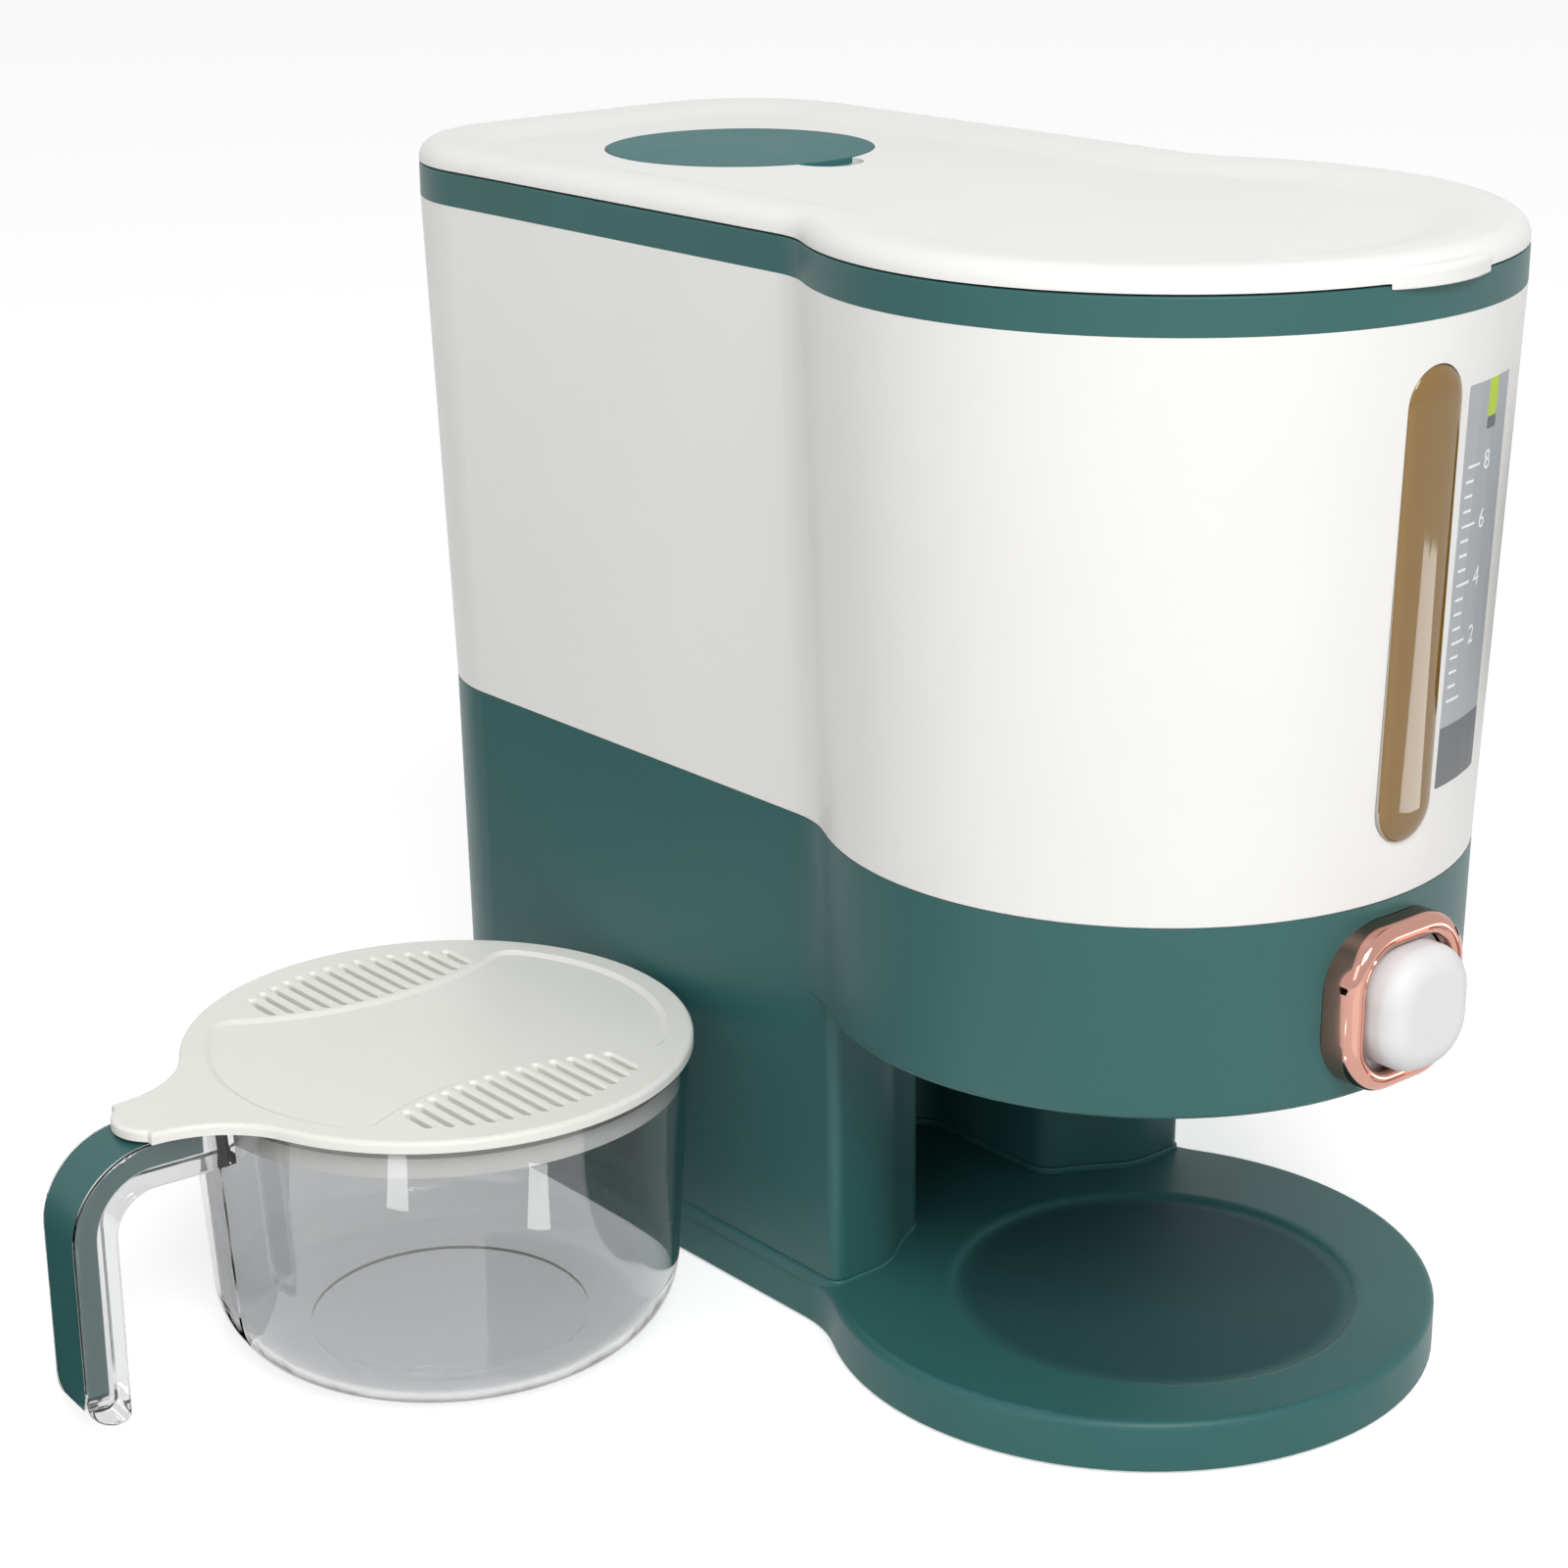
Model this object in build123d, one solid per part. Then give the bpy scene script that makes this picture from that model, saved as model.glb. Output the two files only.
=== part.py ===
from build123d import *
import math
import os

# Rice dispenser with its measuring cup. Millimetres, +Z up, front towards -Y.
# The origin is the middle of the dispenser's footprint, on the surface that it stands on.

# Plan of the body at the trim band: a round drum in front, a narrower box behind it
drum_radius = 99.5
drum_y = -85.2
waist_step = 16.7
rear_y = 184.4
rear_corner_radius = 48.0
neck_radius = 29.5

# Heights of the casing, from the base up
base_height = 15.8
plinth_height = 2.2
bay_headroom = 1.0
belly_height = 55.6
tank_height = 158.2
rim_height = 8.6
band_cap = 1.45
lid_height = 6.4

# Mould draft: how far the skin steps in from the band to the seam, and from the seam to the base
upper_draft = 5.5
lower_draft = 2.2
upright_angle = 10.0

# Clearances and cuts
fit_gap = 0.15
slide_gap = 0.25
lift_gap = 0.3
overrun = 1.0

# Tank
tank_wall = 2.8
lap_depth = 6.0
lap_wall = 2.0
shoulder_height = 2.4
seam_edge = 0.4

# Trim band round the tank's rim
band_thickness = 1.4
band_edge = 0.6

# Sight window in the front of the tank
window_width = 21.0
window_above_seam = 16.4
window_below_band = 11.8
window_flange = 3.0
window_flange_thickness = 2.4
window_crown = 1.4
window_edge = 2.2

# Lower casing and its legs round the cup bay
lower_wall = 2.6
belly_floor = 2.6
belly_edge = 1.6
seat_ahead = 10.4
bay_clear = 3.1
leg_face = 30.2
leg_corner = 4.0
leg_knee = 22.0
recess_half_width = 27.0
recess_length = 72.0
recess_corner = 8.0

# Base tray with the cup seat
tray_wall = 2.8
tray_plate = 4.2
tray_edge = 2.6
plinth_proud = 0.5
plinth_edge = 0.8
plinth_gap = 0.3
lip_height = 4.0
lip_wall = 1.8
seat_margin = 36.5
seat_depth = 1.6
seat_edge = 5.0
rib_wall = 1.6
rib_clear = 3.0
rib_pitch = 36.0
rib_steps = 4

# Rubber pads under the tray
pad_radius = 8.0
pad_height = 2.2
pad_proud = 0.6
pad_boss_wall = 2.0
pad_edge = 0.5
pad_front_angle = 40.0
pad_front_inset = 25.5
pad_side_inset = 32.8
pad_rear_inset = 34.4

# Screws that hold the tray under the lower casing
screw_radius = 1.9
screw_head_radius = 3.8
screw_head_height = 2.4
screw_floor = 6.0
screw_length = 24.0
boss_wall = 2.8
boss_height = 20.0
screw_front_step = 44.0
screw_rear_step = 14.4
drive_depth_share = 0.5
drive_length_share = 0.45
drive_width_share = 0.12

# Hopper: a sloping floor behind and a funnel in front, over the outlet
hopper_wall = 1.8
outlet_width = 50.0
outlet_length = 8.0
throat_height = 8.0
funnel_angle = 58.0
floor_rise = 40.4
floor_angle = 12.5
hopper_front_lip = 7.0
hopper_rear_lip = 5.0

# Gate guide on the belly floor, and the shutter gate that slides in it
guide_plate = 2.0
guide_rail = 6.0
guide_lead = 6.0
guide_stop = 1.0
gate_thickness = 3.0
gate_margin = 6.0
gate_overlap = 1.0
gate_behind = 15.6
tongue_width = 24.0
tab_rise = 11.0
tab_thickness = 2.6
tab_corner = 6.0
tab_gap = 1.5
gusset_length = 12.0
gusset_wall = 2.0
ear_length = 14.0
ear_reach = 11.0
guide_screw_share = 0.28
guide_screw_radius = 1.5
guide_screw_head_radius = 2.8
guide_screw_head_height = 2.0
guide_screw_length = 7.0
guide_boss_radius = 4.0

# Outlet spout in the belly floor
spout_wall = 6.0
spout_edge = 1.2
spout_flange = 4.0
spout_flange_thickness = 0.8

# Return spring between the guide's post and the gate's tab
spring_wire = 1.0
spring_radius = 3.6
spring_turns = 7
spring_room = 26.7
spring_lift = 5.1
spring_samples = 24
post_width = 16.0
post_thickness = 2.4
post_cap = 2.4
pin_radius = 2.4
pin_length = 11.0
seat_play = 0.2

# Push button and its bezel
button_drop = 0.8
button_corner_share = 0.4
button_front = 17.0
button_wall = 2.2
button_crown = 6.5
button_flange = 2.0
button_flange_thickness = 2.0
button_boss_radius = 4.6
bezel_width = 47.0
bezel_margin = 3.8
bezel_side = 7.0
bezel_shelf = 6.5
bezel_corner_share = 0.365
bezel_front = 8.0
bezel_lip = 4.4
bezel_play = 0.5
bezel_round = 2.0
bezel_ring = 1.3
bezel_ring_drop = 0.7
bezel_dish = 2.6
bezel_dish_depth = 2.2
bezel_depth = 16.0
clip_height = 18.0
clip_hook = 1.1
button_screw_radius = 1.2
button_screw_head_radius = 2.6
button_screw_head_height = 1.8
button_screw_length = 9.0

# Lid of the tank
lid_gap = 0.6
lid_round_share = 0.92
lid_border = 11.0
lid_slope = 19.0
lid_dish_steps = 8
lid_panel_depth = 3.0
lid_plate = 2.6
lid_skirt_gap = 1.9
lid_skirt_wall = 2.0
lid_skirt_depth = 9.0
lid_tab_width = 42.0
lid_tab_reach = 2.6
lid_tab_low = 1.1
lid_tab_high = 4.4
lid_tab_gap = 0.4
lid_tab_round = 0.5
lid_tab_crown = 2.2
seal_height = 3.0
seal_drop = 4.0
seal_groove = 0.8
seal_round = 0.6

# Drying-agent box in the lid and its cap
well_inset = 89.4
cap_radius = 42.0
cap_rest = 8.0
cap_thickness = 2.0
cap_proud = 0.2
cap_edge = 0.5
cap_plug_depth = 5.0
cap_plug_wall = 1.6
box_flange = 2.6
box_flange_thickness = 1.4
box_wall = 1.6
box_depth = 26.0
box_edge = 4.0
vent_width = 2.4
vent_pitch = 6.0
vent_margin = 5.0
notch_radius = 11.0
notch_depth = 4.0
notch_angle = -90.0

# Measuring cup
cup_stand_off = 3.0
cup_y = 52.6
cup_rim_radius = 75.3
cup_rim_z = 90.4
cup_wall = 2.2
cup_taper = 5.7
cup_foot_round = 22.0
cup_floor = 2.6
cup_foot_rise = 1.0
cup_foot_ring = 5.0
cup_rim_round = 0.8
cup_turn = 176.0

# Handle of the cup: a clear channel that holds a coloured strip
handle_width = 22.0
handle_depth = 13.5
handle_span = 49.2
handle_drop = 1.0
handle_bend = 26.0
handle_low_z = 6.0
handle_end_round = 9.5
handle_toe_round = 3.4
handle_edge = 1.2
strip_corner = 7.5
strip_depth = 7.0
strip_side = 1.5
strip_start = 8.0
strip_end = 5.0

# Lid of the cup, with two straining rows of slots
cup_lid_overhang = 1.1
cup_lid_thickness = 3.4
cup_lid_edge = 1.4
cup_lid_neck_inset = 6.3
cup_lid_neck_height = 3.0
cup_lid_band_inset = 3.1
cup_lid_band_height = 6.0
cup_lid_skirt_wall = 2.0
cup_tab_length = 28.6
cup_tab_radius = 13.0
cup_tab_blend = 34.0
strain_count = 14
strain_pitch = 5.2
strain_first_x = -28.8
strain_width = 2.4
strain_margin = 10.4
strain_arc_x = 11.0
strain_arc_offset = 58.0
strain_arc_radius = 88.6
panel_dip = 0.9
panel_slope = 66.0
bar_drop = 0.9
bar_slope = 40.0
panel_margin = 9.4
panel_gap = 4.0
panel_corner = 6.0

# Levels that follow from the sizes above; the cup with its lid fits under the belly
plinth_top = base_height + plinth_height
tray_ceiling = base_height - tray_plate
screw_seat = tray_ceiling - screw_floor
belly_z = base_height - seat_depth + cup_rim_z + cup_lid_thickness + bay_headroom
seam_z = belly_z + belly_height
band_z = seam_z + tank_height
window_low = seam_z + window_above_seam
window_high = band_z - window_below_band
belly_top = belly_z + belly_floor
shoulder_z = seam_z + shoulder_height
rim_z = band_z + rim_height
band_top = rim_z + fit_gap + band_cap
lid_low = band_top + lid_gap
lid_top = lid_low + lid_height
panel_z = lid_top - lid_panel_depth
cap_z = panel_z + cap_proud - cap_thickness
gate_low = belly_top + guide_plate + slide_gap
gate_top = gate_low + gate_thickness
guide_ceiling = gate_top + slide_gap
guide_top = guide_ceiling + guide_plate
spring_z = guide_top + spring_lift
throat_top = guide_ceiling + throat_height
floor_rear_z = seam_z + floor_rise
button_z = (belly_z + seam_z) / 2 - button_drop
handle_top_z = cup_rim_z - handle_drop

# Sizes of one piece that follow those of another
box_half_width = drum_radius - waist_step
seat_radius = drum_radius - seat_margin
gate_width = outlet_width + 2 * gate_margin
button_travel = outlet_length + gate_overlap
bezel_height = belly_height - 2 * bezel_margin
bezel_corner = bezel_height * bezel_corner_share
button_width = bezel_width - 2 * bezel_side
button_height = bezel_height - 2 * bezel_shelf
button_corner = button_height * button_corner_share
lid_round = lid_height * lid_round_share
box_radius = cap_radius - cap_rest
cup_foot_radius = cup_rim_radius - cup_taper
cup_lid_radius = cup_rim_radius + cup_lid_overhang
cup_lid_neck_radius = cup_rim_radius - cup_lid_neck_inset
cup_lid_band_radius = cup_rim_radius - cup_lid_band_inset
cup_tab_reach = cup_lid_radius + cup_tab_length
handle_reach = cup_rim_radius + handle_span
strain_outer_radius = cup_lid_radius - strain_margin
strain_arc_y = strain_outer_radius + strain_arc_offset
bay_radius = cup_lid_radius + bay_clear

# Places in plan
seat_y = drum_y - seat_ahead
leg_front_y = seat_y + math.sqrt(bay_radius**2 - (box_half_width - leg_face) ** 2)
recess_back_y = leg_front_y + recess_length
screw_front_y = leg_front_y + screw_front_step
screw_rear_y = rear_y - rear_corner_radius - screw_rear_step
well_y = rear_y - well_inset
guide_half = gate_width / 2 + slide_gap + guide_rail
guide_rear = seat_y + gate_behind + button_travel + guide_stop + guide_rail


def skin(level):
    """How far the outer skin lies inside the band outline at a level."""
    if level >= band_z:
        return 0
    if level >= seam_z:
        return upper_draft * (band_z - level) / (band_z - seam_z)
    return upper_draft + lower_draft * (seam_z - level) / (seam_z - base_height)


lap_inset = skin(seam_z - lap_depth) + lower_wall + fit_gap
belly_front = drum_y - drum_radius + skin(button_z)
bezel_face = belly_front - bezel_front
bezel_back = bezel_face + bezel_depth
tab_front = bezel_back + tab_gap
tab_rear = tab_front + tab_thickness
guide_front = tab_rear + spring_room
gate_front = guide_front + guide_lead
cup_x = -(box_half_width - skin(cup_rim_z) + cup_lid_radius + cup_stand_off)


def mirrored_face(right):
    """Face inside a chain of edges on the right and its mirror image on the left."""
    left = [mirror(edge, Plane.YZ).edge() for edge in right]
    return make_face(right + left)


def keyhole(inset):
    """Plan outline of the body, drawn in by inset on every side."""
    drum = drum_radius - inset
    half = box_half_width - inset
    rear = rear_y - inset
    corner = rear_corner_radius - inset
    neck = neck_radius + inset
    neck_x = half + neck
    neck_y = drum_y + math.sqrt((drum + neck) ** 2 - neck_x**2)
    turn = math.degrees(math.atan2(neck_y - drum_y, neck_x))
    right = [
        Line((0, rear), (half - corner, rear)),
        CenterArc((half - corner, rear - corner), corner, 0, 90),
        Line((half, rear - corner), (half, neck_y)),
        CenterArc((neck_x, neck_y), neck, 180, turn),
        CenterArc((0, drum_y), drum, -90, 90 + turn),
    ]
    return mirrored_face(right)


def rear_box(inset, front):
    """Plan outline of the part of the body behind a front line, drawn in by inset."""
    half = box_half_width - inset
    rear = rear_y - inset
    corner = rear_corner_radius - inset
    right = [
        Line((0, rear), (half - corner, rear)),
        CenterArc((half - corner, rear - corner), corner, 0, 90),
        Line((half, rear - corner), (half, front)),
        Line((half, front), (0, front)),
    ]
    return mirrored_face(right)


def squircle(width, height, corner):
    """Rounded square, seen from the front, in the plane across Y."""
    return Plane.XZ * RectangleRounded(width, height, corner)


def at(level, shape):
    """Lift a plan outline to a level."""
    return Pos(0, 0, level) * shape


def prism(inset, low, high):
    """Straight block of the body's outline between two levels."""
    return extrude(at(low, keyhole(inset)), high - low)


def drafted(inset, low, high):
    """Block of the body's outline that follows the skin's draft, inset from the skin."""
    sections = [at(level, keyhole(skin(level) + inset)) for level in (low, high)]
    return loft(sections, ruled=True)


def rod(radius, low, high, x, y):
    """Upright cylinder between two levels."""
    return Pos(x, y, low) * extrude(Circle(radius), high - low)


def spindle(radius, y_front, y_back, level):
    """Cylinder along Y, in the middle of the body, at a level."""
    return extrude(Pos(0, y_back, level) * (Plane.XZ * Circle(radius)), y_back - y_front)


def block(x_low, x_high, y_low, y_high, z_low, z_high):
    """Box between three pairs of limits."""
    middle = Pos((x_low + x_high) / 2, (y_low + y_high) / 2, (z_low + z_high) / 2)
    return middle * Box(x_high - x_low, y_high - y_low, z_high - z_low)


def front_block(shape, y_front, y_back):
    """Extrude an outline drawn across Y, at the button's height, between two places."""
    return extrude(Pos(0, y_back, button_z) * shape, y_back - y_front)


def outlet_block(margin, low, high):
    """Upright block of the outlet slot's outline, grown by a margin."""
    outline = SlotOverall(outlet_width + 2 * margin, outlet_length + 2 * margin)
    return Pos(0, seat_y, low) * extrude(outline, high - low)


def upright_edges(shape):
    """Edges of a shape that stand upright or nearly so."""
    limit = math.cos(math.radians(upright_angle))
    return shape.edges().filter_by(lambda edge: abs((edge % 0.5).Z) > limit)


def top_edges(shape):
    """Edges at the highest level of a shape."""
    return shape.edges().group_by(Axis.Z)[-1]


def low_edges(shape):
    """Edges at the lowest level of a shape."""
    return shape.edges().group_by(Axis.Z)[0]


def front_edges(shape):
    """Edges in the foremost plane of a shape."""
    return shape.edges().group_by(Axis.Y)[0]


def column(inset, low, high):
    """Legs and rear casing below the belly, with the round bay and the recess cut out."""
    front = leg_front_y + inset
    sections = [at(level, rear_box(skin(level) + inset, front)) for level in (low, high)]
    body = loft(sections, ruled=True)
    body -= rod(bay_radius + inset, low - overrun, high + overrun, 0, seat_y)
    half = recess_half_width + inset
    return body - block(-half, half, seat_y, recess_back_y + inset, low - overrun, high + overrun)


def rounded_column(inset, low, high):
    """The column with the corners of its legs rounded."""
    body = column(inset, low, high)
    front = leg_front_y + inset
    knee_x = math.sqrt((bay_radius + inset) ** 2 - (front - seat_y) ** 2)
    inner_x = recess_half_width + inset
    at_front = [edge for edge in upright_edges(body) if edge.center().Y < front + fit_gap]
    outer = [edge for edge in at_front if abs(edge.center().X) > knee_x + overrun]
    body = fillet(outer, leg_corner)
    knee = [edge for edge in upright_edges(body) if abs(abs(edge.center().X) - knee_x) < fit_gap]
    body = fillet(knee, leg_knee)
    inner = [edge for edge in upright_edges(body) if abs(abs(edge.center().X) - inner_x) < fit_gap]
    return fillet(inner, recess_corner)


def screw_spots():
    """Places of the tray's screws, beside the side walls."""
    x = box_half_width - skin(plinth_top) - lower_wall - screw_radius
    return [(side * x, y) for side in (-1, 1) for y in (screw_front_y, screw_rear_y)]


def guide_spots():
    """Places of the screws in the guide's four ears."""
    x = guide_half + ear_reach / 2
    middle = (guide_front + guide_rear) / 2
    reach = (guide_rear - guide_front) * guide_screw_share
    return [(side * x, middle + step * reach) for side in (-1, 1) for step in (-1, 1)]


def pad_spots():
    """Places of the rubber pads: two under the drum, two at the rear."""
    turn = math.radians(pad_front_angle)
    reach = drum_radius - pad_front_inset
    front = (reach * math.sin(turn), drum_y - reach * math.cos(turn))
    rear = (box_half_width - pad_side_inset, rear_y - pad_rear_inset)
    return [(side * x, y) for x, y in (front, rear) for side in (-1, 1)]


def make_lower_body():
    belly = drafted(0, belly_z, seam_z)
    shell = fillet(low_edges(belly), belly_edge) + rounded_column(0, plinth_top, belly_top)
    shell -= drafted(lower_wall, belly_top, seam_z + overrun)
    shell -= column(lower_wall, plinth_top - overrun, belly_top + overrun)
    boss_low = plinth_top + lip_height
    boss_high = boss_low + boss_height
    for x, y in screw_spots():
        boss = rod(screw_radius + boss_wall, boss_low, boss_high, x, y)
        shell += boss & column(lower_wall / 2, plinth_top, belly_z)
        shell -= rod(screw_radius + fit_gap, plinth_top, boss_high - boss_wall, x, y)
    for x, y in guide_spots():
        shell += rod(guide_boss_radius, belly_top - fit_gap, guide_ceiling, x, y)
        pilot_low = guide_top - guide_screw_length - fit_gap
        shell -= rod(guide_screw_radius + fit_gap, pilot_low, guide_ceiling + overrun, x, y)
    shell -= bezel_hole()
    return shell - outlet_block(spout_wall + fit_gap, belly_z - overrun, belly_top + overrun)


def bezel_hole():
    """Hole for the bezel's sleeve through the front of the casing."""
    outline = squircle(bezel_width + 2 * fit_gap, bezel_height + 2 * fit_gap, bezel_corner + fit_gap)
    return front_block(outline, bezel_face, bezel_back + fit_gap)


def seat_cut():
    """Shallow round dish that the cup stands in."""
    low = base_height - seat_depth
    high = base_height + overrun
    start = Vector(seat_radius, 0, base_height)
    end = Vector(seat_radius - seat_edge, 0, low)
    middle = (start + end) / 2
    inwards = Vector(-1, 0, 0)
    upper = Edge.make_tangent_arc(start, inwards, middle)
    lower = Edge.make_tangent_arc(middle, upper % 1, end)
    rest = Polyline(end, (0, 0, low), (0, 0, high), (seat_radius, 0, high), start)
    face = make_face([upper, lower] + rest.edges())
    return Pos(0, seat_y, 0) * revolve(face, Axis.Z)


def make_base_tray():
    foot = skin(base_height)
    plate = prism(foot, pad_proud, base_height)
    plate = fillet(top_edges(plate), tray_edge)
    tray = plate - prism(foot + tray_wall, 0, tray_ceiling)
    plinth_low = base_height - tray_edge
    plinth = rounded_column(-plinth_proud, plinth_low, plinth_top - plinth_gap)
    tray += fillet(top_edges(plinth), plinth_edge)
    tray += rounded_column(lower_wall, plinth_low, plinth_top)
    lip_inset = lower_wall + fit_gap
    lip_top = plinth_top + lip_height
    lip = column(lip_inset, plinth_top - overrun, lip_top)
    tray += lip - column(lip_inset + lip_wall, plinth_top, lip_top + overrun)
    rib_low = pad_proud + rib_clear
    ribs = [block(-rib_wall / 2, rib_wall / 2, -rear_y, rear_y, rib_low, tray_ceiling)]
    for step in range(-rib_steps, rib_steps + 1):
        y = step * rib_pitch
        ribs.append(block(-drum_radius, drum_radius, y, y + rib_wall, rib_low, tray_ceiling))
    inside = prism(foot + tray_wall / 2, pad_proud, tray_ceiling + overrun)
    for rib in ribs:
        tray += rib & inside
    tray -= seat_cut()
    for x, y in pad_spots():
        tray += rod(pad_radius + fit_gap + pad_boss_wall, pad_proud, tray_ceiling, x, y)
        tray -= rod(pad_radius + fit_gap, 0, pad_height, x, y)
    for x, y in screw_spots():
        tray += rod(screw_head_radius + fit_gap + pad_boss_wall, pad_proud, tray_ceiling, x, y) & inside
        stem = rod(screw_radius + boss_wall, tray_ceiling, lip_top, x, y)
        tray += stem & column(lip_inset, tray_ceiling, belly_z)
        tray -= rod(screw_head_radius + fit_gap, 0, screw_seat, x, y)
        tray -= rod(screw_radius + fit_gap, 0, lip_top + overrun, x, y)
    return tray


def make_foot_pads():
    pads = []
    for x, y in pad_spots():
        pad = rod(pad_radius, 0, pad_height, x, y)
        pads.append(fillet(low_edges(pad), pad_edge))
    return Compound(pads)


def screw(head_radius, head_height, radius, length):
    """Pan-head screw along +Z, with its head's seat at the origin and a cross recess below."""
    head = rod(head_radius, -head_height, 0, 0, 0)
    head = fillet(low_edges(head), head_height / 2)
    shank = rod(radius, 0, length, 0, 0)
    shank = chamfer(top_edges(shank), radius / 2)
    reach = head_radius * drive_length_share
    half = head_radius * drive_width_share
    slot = block(-reach, reach, -half, half, -head_height, -head_height * drive_depth_share)
    return head + shank - slot - Rot(0, 0, 90) * slot


def make_base_screws():
    one = screw(screw_head_radius, screw_head_height, screw_radius, screw_length)
    return Compound([Pos(x, y, screw_seat) * one for x, y in screw_spots()])


def make_tank():
    body = drafted(0, seam_z, band_z)
    body = chamfer(low_edges(body), seam_edge)
    body += prism(band_thickness + fit_gap, band_z - overrun, rim_z)
    body += prism(lap_inset, seam_z - lap_depth, seam_z + overrun)
    bore = drafted(tank_wall, shoulder_z, band_z) + prism(tank_wall, band_z - fit_gap, rim_z + overrun)
    bore += prism(lap_inset + lap_wall, seam_z - lap_depth - overrun, shoulder_z + fit_gap)
    window = window_block(fit_gap, -window_flange, tank_wall + window_flange)
    return body - bore - window_plane() * window - bezel_hole()


def window_plane():
    """Plane on the tank's sloping front, in the middle of the window, facing out."""
    middle = (window_low + window_high) / 2
    lean = math.atan2(upper_draft, band_z - seam_z)
    front = drum_y - drum_radius + skin(middle)
    return Plane((0, front, middle), x_dir=(1, 0, 0), z_dir=(0, -math.cos(lean), -math.sin(lean)))


def window_block(margin, front, depth):
    """Stadium block in the window's own plane, from ahead of the skin to a depth behind it."""
    outline = SlotOverall(window_high - window_low + 2 * margin, window_width + 2 * margin)
    return Pos(0, 0, -depth) * extrude(Rot(0, 0, 90) * outline, depth - front)


def make_window_lens():
    lens = window_block(0, -window_crown, tank_wall + window_flange_thickness)
    lens = fillet(top_edges(lens), window_edge)
    flange = window_block(window_flange, tank_wall + fit_gap, tank_wall + window_flange_thickness)
    inside = drafted(tank_wall + fit_gap, seam_z, band_z)
    return window_plane() * lens + (window_plane() * flange & inside)


def make_rim_band():
    outer = prism(0, band_z, band_top)
    outer = fillet(top_edges(outer), band_edge)
    bore = prism(band_thickness, band_z - overrun, rim_z + fit_gap)
    return outer - bore - prism(tank_wall, band_z, band_top + overrun)


def above_plane(y, z, angle):
    """Large block above a plane that rises towards the rear through a point."""
    span = rear_y - drum_y + drum_radius
    slab = Pos(0, 0, span) * Box(span * 4, span * 4, span * 2)
    return Pos(0, y, z) * (Rot(angle, 0, 0) * slab)


def hopper_plan(inset, shoulder, high):
    """Plan of the hopper: inside the tank's lap below the shoulder, inside its wall above."""
    lower = prism(lap_inset + lap_wall + fit_gap + inset, guide_ceiling - overrun, shoulder)
    return lower + drafted(tank_wall + fit_gap + inset, shoulder, high)


def hopper_floor(wall, high):
    """Space over the hopper's floor: the funnel and the slope behind it, grown by a wall."""
    rise = 1 / math.tan(math.radians(funnel_angle))
    fall = math.tan(math.radians(floor_angle))
    outlet_rear = seat_y + outlet_length / 2
    join_y = (floor_rear_z - rear_y * fall - throat_top + outlet_rear * rise) / (rise - fall)
    drop = wall / math.cos(math.radians(floor_angle))
    slope = above_plane(rear_y, floor_rear_z - drop, floor_angle)
    behind = block(-drum_radius, drum_radius, join_y - wall, rear_y, throat_top, high)
    spread = wall / math.cos(math.radians(funnel_angle))
    outline = SlotOverall(outlet_width + 2 * spread, outlet_length + 2 * spread)
    cone = extrude(Pos(0, seat_y, throat_top) * outline, high - throat_top, taper=-funnel_angle)
    return (slope & behind) + cone


def make_hopper():
    high = floor_rear_z + hopper_rear_lip + overrun
    outer = hopper_plan(0, shoulder_z, high) & hopper_floor(hopper_wall, high)
    outer += outlet_block(hopper_wall, guide_ceiling, throat_top + fit_gap)
    inner = hopper_plan(hopper_wall, shoulder_z + hopper_wall, high) & hopper_floor(0, high)
    inner += outlet_block(0, guide_ceiling - overrun, throat_top + fit_gap)
    front_y = drum_y - drum_radius
    front_z = shoulder_z + hopper_front_lip
    lean = math.degrees(math.atan2(floor_rear_z + hopper_rear_lip - front_z, rear_y - front_y))
    return outer - inner - above_plane(front_y, front_z, lean)


def make_gate_guide():
    guide = block(-guide_half, guide_half, guide_front, guide_rear, belly_top, guide_top)
    for x, y in guide_spots():
        reach = ear_reach / 2
        ear = block(x - reach, x + reach, y - ear_length / 2, y + ear_length / 2, guide_ceiling, guide_top)
        guide += ear
        guide -= rod(guide_screw_radius + fit_gap, guide_ceiling - overrun, guide_top + overrun, x, y)
    half = gate_width / 2 + slide_gap
    back = guide_rear - guide_rail
    guide -= block(-half, half, guide_front - overrun, back, gate_low - slide_gap, guide_ceiling)
    guide -= outlet_block(spout_wall + fit_gap, belly_top - overrun, gate_low)
    flange = spout_wall + spout_flange + fit_gap
    guide -= outlet_block(flange, belly_top - overrun, belly_top + spout_flange_thickness)
    guide -= outlet_block(hopper_wall + fit_gap, gate_top, guide_top + overrun)
    post_top = spring_z + spring_radius + post_cap
    post_rear = guide_front + post_thickness
    post = block(-post_width / 2, post_width / 2, guide_front, post_rear, guide_ceiling, post_top)
    pin = spindle(pin_radius, guide_front - pin_length, post_rear, spring_z)
    return guide + post + chamfer(front_edges(pin), pin_radius / 3)


def make_guide_screws():
    one = screw(guide_screw_head_radius, guide_screw_head_height, guide_screw_radius, guide_screw_length)
    return Compound([Pos(x, y, guide_top) * (Rot(180, 0, 0) * one) for x, y in guide_spots()])


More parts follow.
